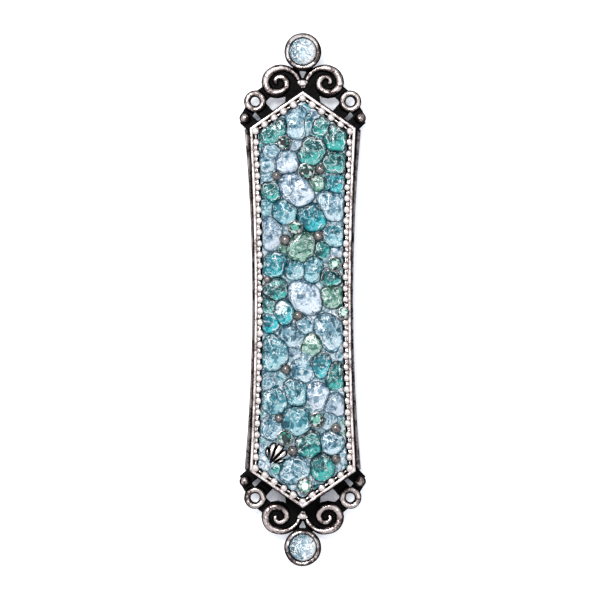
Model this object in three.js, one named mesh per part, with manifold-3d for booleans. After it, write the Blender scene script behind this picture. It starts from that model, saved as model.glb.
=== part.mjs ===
// A jewelled mezuzah case, 127 mm tall: a hollow cast case with a tray of tumbled stones on its front,
// scrollwork and a cabochon at each end, a sliding cover on its back and the rolled parchment inside.
//
// Every piece is modelled lying on its back, in millimetres: x to the right, y along the case and z out
// of the front. The last group stands the case upright, with +Z up and -Y to the front. Its origin is the
// middle of the back, in the plane that meets the doorpost.
import * as THREE from "three";
import { mergeVertices } from "three/addons/utils/BufferGeometryUtils.js";
import Module from "manifold-3d";

const wasm = await Module();
wasm.setup();

// Outline of the rim: a long hexagon with pointed ends, whose sides draw in to a waist.
const rimWaist = 11.5; // half widths
const rimCorner = 12.65;
const cornerHeight = 40.85; // from the middle of the case
const pointRise = 8.8; // from the corners to the point
const sideSteps = 8; // straight stretches in each side

// Depths, all from the back.
const flangeDepth = 2.2;
const frontWall = 0.65;
const trayFloor = 0.8;
const rimHeight = 1.8; // above the tray's floor
const bedThickness = 0.8;

// Widths.
const rimWidth = 0.55;
const wallInset = 0.6; // how far the case's wall stands in under the rim
const flangeProud = 0.6; // how far the flange stands out past the rim at its waist and its points
const flangeFlare = 0.7; // what the flange stands out further at its corners

// Beaded border.
const beadRadius = 0.7;
const beadPitch = 2.65;
const borderWidth = 1.1;
const borderHeight = 0.6;

// Cover on the back, a dovetailed plate that slides up.
const coverThickness = 1.5;
const coverLap = 1.6; // over each end of the chamber
const coverSideLap = 0.6; // over each side of the chamber, at the back, where the plate is narrowest
const dovetail = 0.8; // how much wider the plate is at its inner face, each side
const slideClearance = 0.25;
const gripGrooves = 4;
const gripWidth = 9;
const gripPitch = 2;
const gripDepth = 0.5;
const gripHeight = -31; // of the lowest groove

// Chamber and the parchment in it.
const chamberHalfWidth = 6.6;
const endWall = 2.3; // between the chamber's corners and the slopes
const spareLength = 14; // of the chamber, above the parchment
const rollRadius = 3.5;
const sheetThickness = 0.45;
const rollPitch = 0.85;
const rollTurns = 2.75;
const rollClearance = 0.3;

// Scrollwork. Places are [along the rim's slope from its point, out from the slope].
const webThickness = 0.8;
const webFoot = 4.2; // half widths of the web's middle, from the case up to the cup
const webFootDrop = 3; // below the rim's point
const webShoulder = 3.6;
const webShoulderRise = 2.5; // above the rim's point
const webNeck = 2;
const ringStrap = 3;
const ballStrap = 2.2;
const scrollPlace = [3.57, 5.47];
const ringPlace = [10.59, 4.74];
const ringFoot = [10, 0]; // where the web runs from the ring down to the slope
const ballPlace = [14.92, 2.89];
const ballFoot = [14.2, -0.6];
const scrollWire = 0.72;
const scrollDisc = 3.7;
const ringRadius = 1.93; // to the middle of its wire
const ringWire = 0.66;
const ballRadius = 1.2;
const centreBeadRadius = 1.1;
const centreBeadRise = 1.85; // above the rim's point
const cupRise = 9.7;
const cupRadius = 4.2;
const cupHeight = 3.4;
const cupWall = 0.8;
const cupFloor = 1.2;
const cupDiscInset = 0.3; // how far the web's disc stands in under the cup
const teardrop = { width: 2.1, height: 2.3, rise: 2.9 }; // opening between the scrolls, above the rim's point
const cabochonHeight = 3.2;

const touchGap = 0.3; // between neighbours that are cut to each other
const fitGap = 0.1; // between pieces that sit in each other

const silver = { color: 0xb9aeb0, roughness: 0.35, metalness: 1 };
const darkSilver = { color: 0x4a4648, roughness: 0.5, metalness: 1 };
const glassTints = {
  teal: { color: 0x3f9c92, roughness: 0.12, metalness: 0 },
  turquoise: { color: 0x35a8b0, roughness: 0.12, metalness: 0 },
  aqua: { color: 0x9fd6d8, roughness: 0.12, metalness: 0 },
  ice: { color: 0xcfe3ef, roughness: 0.1, metalness: 0 },
  lavender: { color: 0xd2d9ee, roughness: 0.1, metalness: 0 },
  green: { color: 0x8fb8a6, roughness: 0.15, metalness: 0 },
};
const resin = { color: 0xdfe4f2, roughness: 0.2, metalness: 0 };
const parchment = { color: 0xe3d6b4, roughness: 0.85, metalness: 0 };

// What is set in the resin is laid out for this tray, and spreads with it when it grows.
const laidOutFor = { waist: 11.5, corner: 12.65, height: 40.85 };

// The stones, by tint: [x, y, half length, half width, turn of the long axis in degrees].
const stones = {
  teal: [
    [-6.8, 40.3, 3.65, 2.6, 60],
    [7.4, 38.9, 3.95, 2.5, -65],
    [1.9, 35.5, 3.6, 3.0, 45],
    [7.5, 32.5, 2.75, 2.65, 0],
    [-7.7, 25.5, 2.9, 2.3, 80],
    [6.7, 5.5, 2.75, 2.3, 0],
    [-6.8, 2.5, 3.1, 2.4, -20],
    [8.2, -18.3, 3.95, 2.4, 85],
    [1.5, -34.4, 3.2, 2.9, 90],
    [4.7, -39.8, 3.35, 2.6, 85],
  ],
  turquoise: [
    [7.5, 27.8, 3.1, 2.1, -35],
    [2.4, 19.6, 3.5, 3.0, -27],
    [-6.7, 8.4, 2.9, 2.7, 90],
    [-4.45, -2.9, 3.4, 2.2, 88],
    [4.2, -15.5, 3.1, 2.15, 88],
  ],
  aqua: [
    [-4.3, 20.9, 2.9, 2.6, -50],
    [7.4, 15.3, 3.1, 2.3, 80],
    [2.6, 7.2, 3.35, 2.0, 85],
    [-6.5, -12.8, 5.25, 2.95, 88],
    [-6.9, -23.8, 3.6, 2.75, -80],
    [-1.7, -22.0, 3.5, 2.5, -62],
    [-1.7, -29.2, 3.8, 3.4, 40],
  ],
  ice: [
    [-1.2, 41.8, 4.65, 2.75, 81],
    [6.9, 22.2, 4.1, 2.75, -60],
    [6.1, -7.9, 5.5, 3.0, -73],
    [-2.3, -8.65, 3.1, 2.6, 0],
    [-0.2, -16.9, 3.1, 2.4, -30],
    [6.1, -28.9, 2.5, 2.5, 0],
    [-7.5, -30.7, 2.6, 2.3, 0],
    [6.8, -34.1, 2.6, 2.5, 0],
    [-1.8, -40.8, 3.7, 2.85, 27],
  ],
  lavender: [
    [-4.0, 32.7, 2.8, 2.5, 0],
    [-1.5, 26.2, 4.8, 3.5, -40],
    [-7.7, 15.4, 4.9, 2.6, 88],
    [0.35, 0.3, 5.0, 3.35, -55],
    [3.4, -23.0, 3.35, 2.6, 90],
    [7.8, -25.3, 2.75, 2.6, 0],
  ],
  green: [
    [-0.4, 12.5, 3.4, 3.3, 0],
    [7.1, 0.8, 2.65, 2.5, 0],
  ],
};

// Slivers and chips between the larger stones, which are set down into the resin.
const chips = [
  [1.4, 41.8, 3.1, 1.1, 80],
  [4.2, 41.0, 2.4, 2.3, 30],
  [-7.5, 35.1, 2.2, 1.5, 0],
  [-8.5, 32.4, 2.6, 1.9, 90],
  [3.4, 27.7, 2.15, 1.45, -10],
  [-8.9, 22.2, 2.4, 1.4, 80],
  [4.7, 11.8, 2.3, 1.7, -60],
  [-2.0, 7.0, 2.5, 2.15, 0],
  [-8.3, -1.5, 2.15, 1.7, 90],
  [-8.0, -5.55, 2.3, 2.0, 0],
  [0.5, -6.3, 2.0, 1.9, 0],
  [2.1, -10.7, 2.9, 2.3, 80],
  [2.9, 44.0, 1.1, 1.1, 0],
  [-1.7, 36.9, 1.6, 1.2, 0],
  [-8.2, 29.3, 1.2, 1.2, 0],
  [7.7, 11.2, 1.3, 1.1, 0],
  [-2.1, -12.7, 1.4, 1.4, 0],
  [-8.2, -20.1, 1.3, 1.3, 0],
];

// Cut crystals in claw settings: [x, y, radius, and whether it sits up on the rim].
const crystals = [
  [-4.5, 37.3, 1.5],
  [0.8, 30.5, 1.7],
  [-1.8, 17.1, 1.6],
  [7.6, 8.5, 1.5],
  [9.7, -3.2, 1.3, true],
  [3.3, -28.7, 1.6],
  [-4.3, -32.9, 1.6],
  [0.5, -44.3, 1.7],
];

// Metal beads set in the resin: [x, y, radius].
const beads = [
  [-6.2, 29.5, 1.1],
  [4.1, 31.0, 1.2],
  [-4.2, 14.2, 1.3],
  [3.7, 15.2, 1.25],
  [-8.4, 4.9, 0.85],
  [-1.15, -3.8, 1.2],
  [-4.0, -16.6, 1.2],
  [-5.6, -28.2, 1.05],
  [7.9, -30.6, 1.2],
  [-2.4, -36.0, 1.2],
  [7.9, -37.9, 1.1],
];

const charm = { x: -6.3, y: -36.6, radius: 2.9, turn: -33, thickness: 1.3 };
const charmRibs = { count: 5, width: 0.5, proud: 0.3 };

const crystalHeight = 2.2;
const rimCrystalHeight = 1.6;

// Boolean work.

function solidOf(geometry) {
  const bare = new THREE.BufferGeometry();
  bare.setAttribute("position", geometry.getAttribute("position"));
  if (geometry.index) bare.setIndex(geometry.index);
  const merged = mergeVertices(bare, 1e-4);
  return new wasm.Manifold(
    new wasm.Mesh({
      numProp: 3,
      vertProperties: merged.attributes.position.array,
      triVerts: new Uint32Array(merged.index.array),
    }),
  );
}

function geometryOf(solid) {
  const mesh = solid.getMesh();
  const geometry = new THREE.BufferGeometry();
  geometry.setAttribute("position", new THREE.BufferAttribute(mesh.vertProperties, 3));
  geometry.setIndex(new THREE.BufferAttribute(mesh.triVerts, 1));
  const flat = geometry.toNonIndexed();
  flat.computeVertexNormals();
  return flat;
}

// One geometry from the pieces to join and those to cut away.
function built(joined, cut = []) {
  const whole = joined.map(solidOf).reduce((all, piece) => all.add(piece));
  return geometryOf(cut.map(solidOf).reduce((rest, piece) => rest.subtract(piece), whole));
}

function namedMesh(name, geometry, look) {
  const mesh = new THREE.Mesh(geometry, new THREE.MeshStandardMaterial(look));
  mesh.name = name;
  return mesh;
}

// Basic forms, all standing on the xy plane from one depth to another.

function shapeOf(points) {
  return new THREE.Shape(points.map(([x, y]) => new THREE.Vector2(x, y)));
}

function slab(shape, from, to) {
  return new THREE.ExtrudeGeometry(shape, { depth: to - from, bevelEnabled: false }).translate(0, 0, from);
}

function block(x, y, width, height, from, to) {
  return new THREE.BoxGeometry(width, height, to - from).translate(x, y, (from + to) / 2);
}

function disc(x, y, radius, from, to, segments) {
  const round = new THREE.CylinderGeometry(radius, radius, to - from, segments);
  return round.rotateX(Math.PI / 2).translate(x, y, (from + to) / 2);
}

// A turned form from [radius, depth] pairs, which start and end on its axis.
function turned(profile, segments) {
  const points = profile.map(([radius, depth]) => new THREE.Vector2(radius, depth));
  return new THREE.LatheGeometry(points, segments).rotateX(Math.PI / 2);
}

// A section in x and depth, drawn out along the case.
function drawnOut(section, bottom, top) {
  const bar = new THREE.ExtrudeGeometry(section, { depth: top - bottom, bevelEnabled: false });
  return bar.rotateX(Math.PI / 2).translate(0, top, 0);
}

function strap([ax, ay], [bx, by], width, from, to) {
  const along = new THREE.Vector2(bx - ax, by - ay);
  const bar = new THREE.BoxGeometry(along.length(), width, to - from).rotateZ(along.angle());
  return bar.translate((ax + bx) / 2, (ay + by) / 2, (from + to) / 2);
}

function ball(x, y, depth, radius, around, down) {
  return new THREE.SphereGeometry(radius, around, down).rotateX(Math.PI / 2).translate(x, y, depth);
}

// The hexagon's outline and its slopes.

const slopeAngle = Math.atan2(pointRise, rimCorner);
const pointHeight = cornerHeight + pointRise;

// Half width of the rim at a height, drawn in by an inset.
function halfWidth(y, inset) {
  return rimWaist - inset + (rimCorner - rimWaist) * (y / cornerHeight) ** 2;
}

// Heights of the outline's point and corners, drawn in by an inset.
function pointAt(inset) {
  return pointHeight - inset / Math.cos(slopeAngle);
}

function cornerAt(inset, flare = 0) {
  return pointAt(inset) - (rimCorner - inset + flare) * Math.tan(slopeAngle);
}

// The outline drawn in by an inset, and flared by more towards its corners.
function outline(inset, flare = 0) {
  const corner = cornerAt(inset, flare);
  const right = [];
  for (let i = 0; i <= sideSteps; i++) {
    const y = corner * ((2 * i) / sideSteps - 1);
    right.push([halfWidth(y, inset) + flare * (y / corner) ** 2, y]);
  }
  const left = right.map(([x, y]) => [-x, -y]);
  return shapeOf([[0, -pointAt(inset)], ...right, [0, pointAt(inset)], ...left]);
}

// A place beside the upper slope, on the right for side 1 and on the left for side -1.
function besideSlope([along, out], side) {
  const x = along * Math.cos(slopeAngle) + out * Math.sin(slopeAngle);
  const y = pointHeight - along * Math.sin(slopeAngle) + out * Math.cos(slopeAngle);
  return [side * x, y];
}

// Case shell, with its chamber and the dovetailed slot that is open at the top of the back.

const slotDepth = coverThickness + slideClearance;
const rollDepth = slotDepth + rollClearance + rollRadius; // to the middle of the roll
const chamberDepth = rollDepth + rollRadius + rollClearance;
const caseDepth = chamberDepth + frontWall;
const coverHalfWidth = chamberHalfWidth + coverSideLap;
const chamberHalfHeight = pointAt(wallInset) - chamberHalfWidth * Math.tan(slopeAngle) - endWall;
const coverEnd = chamberHalfHeight + coverLap;

function dovetailPlate(from, to, bottom, top, clearance) {
  const half = (depth) => coverHalfWidth + clearance + (dovetail * depth) / coverThickness;
  const section = shapeOf([
    [-half(from), from],
    [half(from), from],
    [half(to), to],
    [-half(to), to],
  ]);
  return drawnOut(section, bottom, top);
}

function caseShell() {
  const past = 1; // how far a cut runs past the face that it opens
  const flange = slab(outline(-flangeProud, flangeFlare), 0, flangeDepth);
  const wall = slab(outline(wallInset), 0, caseDepth);
  const slotTop = pointAt(-flangeProud) + past;
  const slot = dovetailPlate(-past, slotDepth, -coverEnd - fitGap, slotTop, slideClearance);
  const width = 2 * chamberHalfWidth;
  const chamber = block(0, 0, width, 2 * chamberHalfHeight, slotDepth - past, chamberDepth);
  return built([flange, wall], [slot, chamber]);
}

function backCover() {
  const plate = dovetailPlate(0, coverThickness, -coverEnd, coverEnd, 0);
  const grooves = [];
  for (let i = 0; i < gripGrooves; i++) {
    grooves.push(block(0, gripHeight + i * gripPitch, gripWidth, gripPitch / 2, -gripDepth, gripDepth));
  }
  return built([plate], grooves);
}

// The parchment, rolled up from its left edge to the right: its section is a spiral.
function parchmentScroll() {
  const stepsPerTurn = 14;
  const steps = Math.round(rollTurns * stepsPerTurn);
  const outer = [];
  const inner = [];
  for (let i = 0; i <= steps; i++) {
    const angle = (2 * Math.PI * i) / stepsPerTurn;
    const radius = rollRadius - (rollPitch * i) / stepsPerTurn;
    outer.push([radius * Math.cos(angle), rollDepth + radius * Math.sin(angle)]);
    const under = radius - sheetThickness;
    inner.push([under * Math.cos(angle), rollDepth + under * Math.sin(angle)]);
  }
  const section = shapeOf([...outer, ...inner.reverse()]);
  const bottom = -chamberHalfHeight + fitGap;
  return drawnOut(section, bottom, chamberHalfHeight - spareLength);
}

// Tray on the front of the case, with its rim and the beaded border inside it.

const trayTop = caseDepth + trayFloor;
const rimTop = trayTop + rimHeight;
const borderInset = rimWidth + fitGap;
const bedInset = borderInset + 2 * beadRadius + fitGap;
const bedTop = trayTop + bedThickness;

function jewelTray() {
  const whole = slab(outline(0), caseDepth, rimTop);
  const hollow = slab(outline(rimWidth), trayTop, rimTop + 1);
  return built([whole], [hollow]);
}

// Middles of the border's beads: one at each point and corner, and the rest spaced evenly between.
function borderPlaces() {
  const inset = borderInset + beadRadius;
  const corner = cornerAt(inset);
  const slopeLength = (rimCorner - inset) / Math.cos(slopeAngle);
  const perSide = Math.round((2 * corner) / beadPitch);
  const perSlope = Math.round(slopeLength / beadPitch);
  const quarter = [];
  for (let i = 0; i < perSlope; i++) {
    const share = i / perSlope;
    quarter.push([share * (rimCorner - inset), pointAt(inset) + share * (corner - pointAt(inset))]);
  }
  const right = [];
  for (let i = 0; i <= perSide; i++) {
    const y = corner * (1 - (2 * i) / perSide);
    right.push([halfWidth(y, inset), y]);
  }
  const rising = quarter.map(([x, y]) => [x, -y]).reverse();
  const half = [...quarter, ...right, ...rising.slice(0, -1)];
  return [...half, ...half.map(([x, y]) => [-x, -y])];
}

function beadedBorder() {
  const strip = outline(borderInset);
  strip.holes.push(new THREE.Path(outline(borderInset + borderWidth).getPoints()));
  const top = trayTop + borderHeight;
  const row = borderPlaces().map(([x, y]) => ball(x, y, top + beadRadius / 2, beadRadius, 6, 3));
  return built([slab(strip, trayTop, top), ...row]);
}

// Stones. Each is an ellipse on the bed, cut back by straight lines from its neighbours and the
// border, and domed.

const stoneSides = 12;
const stoneRise = 1;
const stoneRisePerWidth = 0.5;
const stoneProfile = [
  [0, 0],
  [0.84, 0],
  [1, 0.35],
  [0.86, 0.7],
  [0.5, 0.94],
  [0, 1],
];

// Where a laid-out place comes to on the bed: its share of the bed's half width and of its height.
function spread(x, y) {
  const placed = (y * cornerHeight) / laidOutFor.height;
  const { waist, corner, height } = laidOutFor;
  const laidOutWidth = waist + (corner - waist) * (y / height) ** 2;
  return { x: (x * halfWidth(placed, bedInset)) / (laidOutWidth - bedInset), y: placed };
}

function stoneFrom([x, y, long, short, turn]) {
  return { ...spread(x, y), long, short, turn: (turn * Math.PI) / 180 };
}

function roundFrom([x, y, radius, onRim = false]) {
  return { ...spread(x, y), radius, onRim };
}

const stoneList = Object.entries(stones).flatMap(([tint, rows]) =>
  rows.map((row, i) => ({ ...stoneFrom(row), tint, name: tint + "_stone_" + (i + 1) })),
);
const chipList = chips.map(stoneFrom);
const crystalList = crystals.map(roundFrom);
const beadList = beads.map(roundFrom);
const looseShapes = [...stoneList, ...chipList];
const charmPlace = { ...spread(charm.x, charm.y), radius: charm.radius };
const roundShapes = [...crystalList.filter((c) => !c.onRim), ...beadList, charmPlace];

// How far an ellipse reaches from its middle at an angle.
function reach({ long, short, turn }, angle) {
  return (long * short) / Math.hypot(short * Math.cos(angle - turn), long * Math.sin(angle - turn));
}

// The lines that bound a stone, each by the angle it faces and its distance from the stone's middle.
function limitsOf(stone) {
  const limits = [];
  for (const other of [...looseShapes, ...roundShapes]) {
    if (other === stone) continue;
    const apart = Math.hypot(other.x - stone.x, other.y - stone.y);
    const angle = Math.atan2(other.y - stone.y, other.x - stone.x);
    if (other.radius) {
      limits.push({ angle, distance: apart - other.radius - touchGap });
    } else {
      const own = reach(stone, angle);
      const share = own / (own + reach(other, angle + Math.PI));
      limits.push({ angle, distance: apart * share - touchGap / 2 });
    }
  }
  const nearWaist = Math.max(Math.abs(stone.y) - stone.long, 0);
  const side = halfWidth(nearWaist, bedInset);
  limits.push({ angle: 0, distance: side - stone.x }, { angle: Math.PI, distance: side + stone.x });
  for (const end of [1, -1]) {
    for (const hand of [1, -1]) {
      const below = (pointAt(bedInset) - end * stone.y) * Math.cos(slopeAngle);
      const distance = below - hand * stone.x * Math.sin(slopeAngle);
      limits.push({ angle: Math.atan2(end * Math.cos(slopeAngle), hand * Math.sin(slopeAngle)), distance });
    }
  }
  return limits;
}

function domedStone(stone, base) {
  const limits = limitsOf(stone);
  const height = stoneRise + stoneRisePerWidth * stone.short;
  const geometry = turned(stoneProfile, stoneSides);
  const position = geometry.getAttribute("position");
  for (let i = 0; i < position.count; i++) {
    const share = Math.hypot(position.getX(i), position.getY(i));
    const angle = Math.atan2(position.getY(i), position.getX(i));
    const lines = limits.map((l) => l.distance / Math.max(Math.cos(angle - l.angle), 1e-3));
    const radius = share * Math.min(reach(stone, angle), ...lines);
    const z = base + height * position.getZ(i);
    position.setXYZ(i, stone.x + radius * Math.cos(angle), stone.y + radius * Math.sin(angle), z);
  }
  return built([geometry]);
}

// The resin bed, with the slivers, chips and metal beads that are set down into it.
function stoneBed() {
  const chipSunk = 0.2;
  const beadRise = 0.6; // of its radius
  const bed = slab(outline(bedInset), trayTop, bedTop);
  const setIn = chipList.map((chip) => domedStone(chip, bedTop - chipSunk));
  const metal = beadList.map(({ x, y, radius }) => ball(x, y, bedTop + beadRise * radius, radius, 8, 5));
  return built([bed, ...setIn, ...metal]);
}

function crystal({ x, y, radius, onRim }) {
  const height = onRim ? rimCrystalHeight : crystalHeight;
  const profile = [
    [0, 0],
    [0.8 * radius, 0],
    [radius, 0.5 * height],
    [radius, 0.75 * height],
    [0.6 * radius, height],
    [0, height],
  ];
  return built([turned(profile, 8).translate(x, y, onRim ? rimTop : bedTop)]);
}

// A small fluted leaf: its scalloped edge lies on a circle that passes through its stem.
function leafCharm() {
  const { turn, thickness } = charm;
  const { x, y, radius } = charmPlace;
  const fan = (2 * Math.PI) / 3;
  const stem = [0, -radius];
  const edgePoint = (rib, shrink) => {
    const angle = Math.PI / 2 + fan * (rib / charmRibs.count - 0.5);
    const length = 2 * radius * Math.sin(angle) * shrink;
    return [length * Math.cos(angle), stem[1] + length * Math.sin(angle)];
  };
  const edge = [stem];
  const flutes = [];
  for (let i = 0; i < charmRibs.count; i++) {
    const middle = edgePoint(i + 0.5, 0.97);
    edge.push(edgePoint(i + 0.15, 0.9), middle, edgePoint(i + 0.85, 0.9));
    const along = (share) => middle.map((v, axis) => stem[axis] + share * (v - stem[axis]));
    flutes.push(strap(along(0.25), along(0.9), charmRibs.width, thickness / 2, thickness + charmRibs.proud));
  }
  const leaf = built([slab(shapeOf(edge), 0, thickness), ...flutes]);
  return leaf.rotateZ((turn * Math.PI) / 180).translate(x, y, bedTop);
}

// Scrollwork for the upper end: a web that rests on the flange, with scrolled wire, rings and balls.

const webTop = flangeDepth + webThickness;
const cupY = pointHeight + cupRise;
const cupDisc = cupRadius - cupDiscInset;

// Middle of the right-hand scroll's wire: [degrees, radius] about the scroll's middle.
const scrollLine = [
  [169, 5.1],
  [130, 4.1],
  [90, 3.25],
  [45, 3.0],
  [0, 2.9],
  [-45, 2.7],
  [-90, 2.45],
  [-135, 2.3],
  [-180, 2.2],
  [-225, 1.75],
  [-270, 1.15],
  [-315, 0.75],
  [-360, 0.45],
];

function scrolledWire(side) {
  const [cx, cy] = besideSlope(scrollPlace, side);
  const points = scrollLine.map(([degrees, radius]) => {
    const angle = (degrees * Math.PI) / 180;
    return new THREE.Vector3(cx + side * radius * Math.cos(angle), cy + radius * Math.sin(angle), 0);
  });
  const section = [];
  for (let i = 0; i < 6; i++) {
    section.push([scrollWire * Math.cos((i * Math.PI) / 3), scrollWire * Math.sin((i * Math.PI) / 3)]);
  }
  const extrudePath = new THREE.CatmullRomCurve3(points);
  const wire = new THREE.ExtrudeGeometry(shapeOf(section), { steps: 22, bevelEnabled: false, extrudePath });
  return wire.translate(0, 0, webTop + 0.75 * scrollWire);
}

function scrollwork() {
  const web = [
    disc(0, cupY, cupDisc, flangeDepth, webTop, 20),
    slab(
      shapeOf([
        [-webFoot, pointHeight - webFootDrop],
        [webFoot, pointHeight - webFootDrop],
        [webShoulder, pointHeight + webShoulderRise],
        [webNeck, cupY - cupDisc + 1],
        [-webNeck, cupY - cupDisc + 1],
        [-webShoulder, pointHeight + webShoulderRise],
      ]),
      flangeDepth,
      webTop,
    ),
  ];
  const raised = [ball(0, pointHeight + centreBeadRise, webTop + 0.3, centreBeadRadius, 8, 6)];
  const cuts = [
    slab(outline(wallInset - touchGap), 0, caseDepth),
    slab(
      shapeOf([
        [0, pointHeight + teardrop.rise],
        [teardrop.width / 2, pointHeight + teardrop.rise + teardrop.height],
        [-teardrop.width / 2, pointHeight + teardrop.rise + teardrop.height],
      ]),
      0,
      caseDepth,
    ),
  ];
  for (const side of [1, -1]) {
    const scroll = besideSlope(scrollPlace, side);
    const ring = besideSlope(ringPlace, side);
    const end = besideSlope(ballPlace, side);
    web.push(
      disc(...scroll, scrollDisc, flangeDepth, webTop, 16),
      disc(...ring, ringRadius, flangeDepth, webTop, 12),
      strap(ring, scroll, ringStrap, flangeDepth, webTop),
      strap(ring, besideSlope(ringFoot, side), ringStrap, flangeDepth, webTop),
      strap(end, ring, ballStrap, flangeDepth, webTop),
      strap(end, besideSlope(ballFoot, side), ringStrap, flangeDepth, webTop),
    );
    const hoop = new THREE.TorusGeometry(ringRadius, ringWire, 6, 12);
    raised.push(
      scrolledWire(side),
      hoop.translate(...ring, webTop + 0.2),
      ball(...end, flangeDepth + ballRadius, ballRadius, 8, 6),
    );
    cuts.push(disc(...ring, ringRadius - ringWire, 0, caseDepth, 12));
  }
  return built([...web, ...raised], cuts);
}

// Cup and cabochon at the tip of the scrollwork.

function bezelCup() {
  const profile = [
    [0, 0],
    [cupRadius - 0.3, 0],
    [cupRadius, 0.6],
    [cupRadius, cupHeight - 0.4],
    [cupRadius - 0.4, cupHeight],
    [cupRadius - cupWall, cupHeight - 0.2],
    [cupRadius - cupWall, cupFloor],
    [0, cupFloor],
  ];
  return built([turned(profile, 20).translate(0, cupY, webTop)]);
}

function cabochon() {
  const radius = cupRadius - cupWall - fitGap;
  const profile = [
    [0, 0],
    [radius, 0],
    [radius, 0.62 * cabochonHeight],
    [0.75 * radius, 0.88 * cabochonHeight],
    [0.4 * radius, 0.98 * cabochonHeight],
    [0, cabochonHeight],
  ];
  return built([turned(profile, 20).translate(0, cupY, webTop + cupFloor)]);
}

// The assembly.

const caseOnItsBack = new THREE.Group();
caseOnItsBack.add(
  namedMesh("case_shell", caseShell(), silver),
  namedMesh("back_cover", backCover(), silver),
  namedMesh("parchment_scroll", parchmentScroll(), parchment),
  namedMesh("jewel_tray", jewelTray(), darkSilver),
  namedMesh("beaded_border", beadedBorder(), silver),
  namedMesh("stone_bed", stoneBed(), resin),
  namedMesh("leaf_charm", leafCharm(), silver),
);
stoneList.forEach((stone) => {
  caseOnItsBack.add(namedMesh(stone.name, domedStone(stone, bedTop), glassTints[stone.tint]));
});
crystalList.forEach((setting, i) => {
  caseOnItsBack.add(namedMesh("crystal_" + (i + 1), crystal(setting), glassTints.teal));
});
for (const [end, turn] of [
  ["top", 0],
  ["bottom", Math.PI],
]) {
  const ornament = new THREE.Group();
  ornament.rotation.z = turn;
  ornament.add(
    namedMesh(end + "_scrollwork", scrollwork(), silver),
    namedMesh(end + "_bezel_cup", bezelCup(), silver),
    namedMesh(end + "_cabochon", cabochon(), glassTints.ice),
  );
  caseOnItsBack.add(ornament);
}

const mezuzahCase = new THREE.Group();
caseOnItsBack.rotation.x = Math.PI / 2;
mezuzahCase.add(caseOnItsBack);

export default mezuzahCase;
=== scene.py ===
import math
import random

import bmesh
import bpy
from mathutils import Matrix, Vector, geometry, noise


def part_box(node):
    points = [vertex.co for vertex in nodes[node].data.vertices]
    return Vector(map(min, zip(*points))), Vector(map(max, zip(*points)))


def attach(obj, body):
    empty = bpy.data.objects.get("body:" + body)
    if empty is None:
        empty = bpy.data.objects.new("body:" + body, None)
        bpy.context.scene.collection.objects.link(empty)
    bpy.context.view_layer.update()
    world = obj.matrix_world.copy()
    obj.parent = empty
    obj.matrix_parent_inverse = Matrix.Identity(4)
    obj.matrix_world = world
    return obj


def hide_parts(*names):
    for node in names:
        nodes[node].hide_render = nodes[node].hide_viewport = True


# A slim wall case for a parchment scroll: cast silver, set with tumbled stones in resin.
# Lengths in this script are millimetres: x to the right, z up, depth from the wall to the front.

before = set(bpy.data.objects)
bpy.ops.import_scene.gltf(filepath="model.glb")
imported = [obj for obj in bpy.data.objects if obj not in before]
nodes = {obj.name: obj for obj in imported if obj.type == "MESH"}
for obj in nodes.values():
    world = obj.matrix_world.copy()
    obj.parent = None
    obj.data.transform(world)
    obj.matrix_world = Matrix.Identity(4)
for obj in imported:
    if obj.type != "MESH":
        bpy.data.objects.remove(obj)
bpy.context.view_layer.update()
mm = 0.001


def at(x, z, depth):
    return Vector((x, -depth, z))


def vertsOf(name):
    return [v.co / mm for v in nodes[name].data.vertices]


def boxOf(name):
    low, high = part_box(name)
    return low / mm, high / mm


def turnAt(step, count):
    return 2 * math.pi * step / count


# ---- building meshes

def newSolid():
    return {"points": [], "faces": []}


def loft(solid, rings, closed=False, capped=True):
    # joins rings of points that all have the same count
    start = len(solid["points"])
    count = len(rings[0])
    for ring in rings:
        solid["points"].extend(ring)
    spans = len(rings) if closed else len(rings) - 1
    for i in range(spans):
        a = start + i * count
        b = start + ((i + 1) % len(rings)) * count
        for j in range(count):
            k = (j + 1) % count
            solid["faces"].append((a + j, a + k, b + k, b + j))
    if capped and not closed:
        solid["faces"].append(tuple(range(start + count - 1, start - 1, -1)))
        last = start + (len(rings) - 1) * count
        solid["faces"].append(tuple(range(last, last + count)))
    return solid


def meshOf(name, solid):
    mesh = bpy.data.meshes.new(name)
    mesh.from_pydata(solid["points"], [], solid["faces"])
    shape = bmesh.new()
    shape.from_mesh(mesh)
    bmesh.ops.recalc_face_normals(shape, faces=shape.faces)
    shape.to_mesh(mesh)
    shape.free()
    return mesh


def evaluated(mesh, modifiers):
    # the mesh after a list of (kind, settings)
    carrier = bpy.data.objects.new("carrier", mesh)
    bpy.context.scene.collection.objects.link(carrier)
    for kind, settings in modifiers:
        modifier = carrier.modifiers.new(kind, kind)
        for key, value in settings.items():
            setattr(modifier, key, value)
    bpy.context.view_layer.update()
    final = carrier.evaluated_get(bpy.context.evaluated_depsgraph_get())
    result = bpy.data.meshes.new_from_object(final)
    bpy.data.objects.remove(carrier)
    return result


def castSkin(mesh, voxel, smoothing, dents):
    # one skin over everything in the mesh, softened and dented as a casting is
    skin = evaluated(mesh, [("REMESH", {"mode": "VOXEL", "voxel_size": voxel, "use_smooth_shade": True})])
    shape = bmesh.new()
    shape.from_mesh(skin)
    for _ in range(smoothing):
        bmesh.ops.smooth_vert(shape, verts=shape.verts, factor=0.5,
                              use_axis_x=True, use_axis_y=True, use_axis_z=True)
    shape.normal_update()
    for vert in shape.verts:
        swell = sum(size * noise.noise(vert.co * often) for size, often in dents)
        vert.co += vert.normal * swell
    shape.to_mesh(skin)
    shape.free()
    return skin


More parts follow.
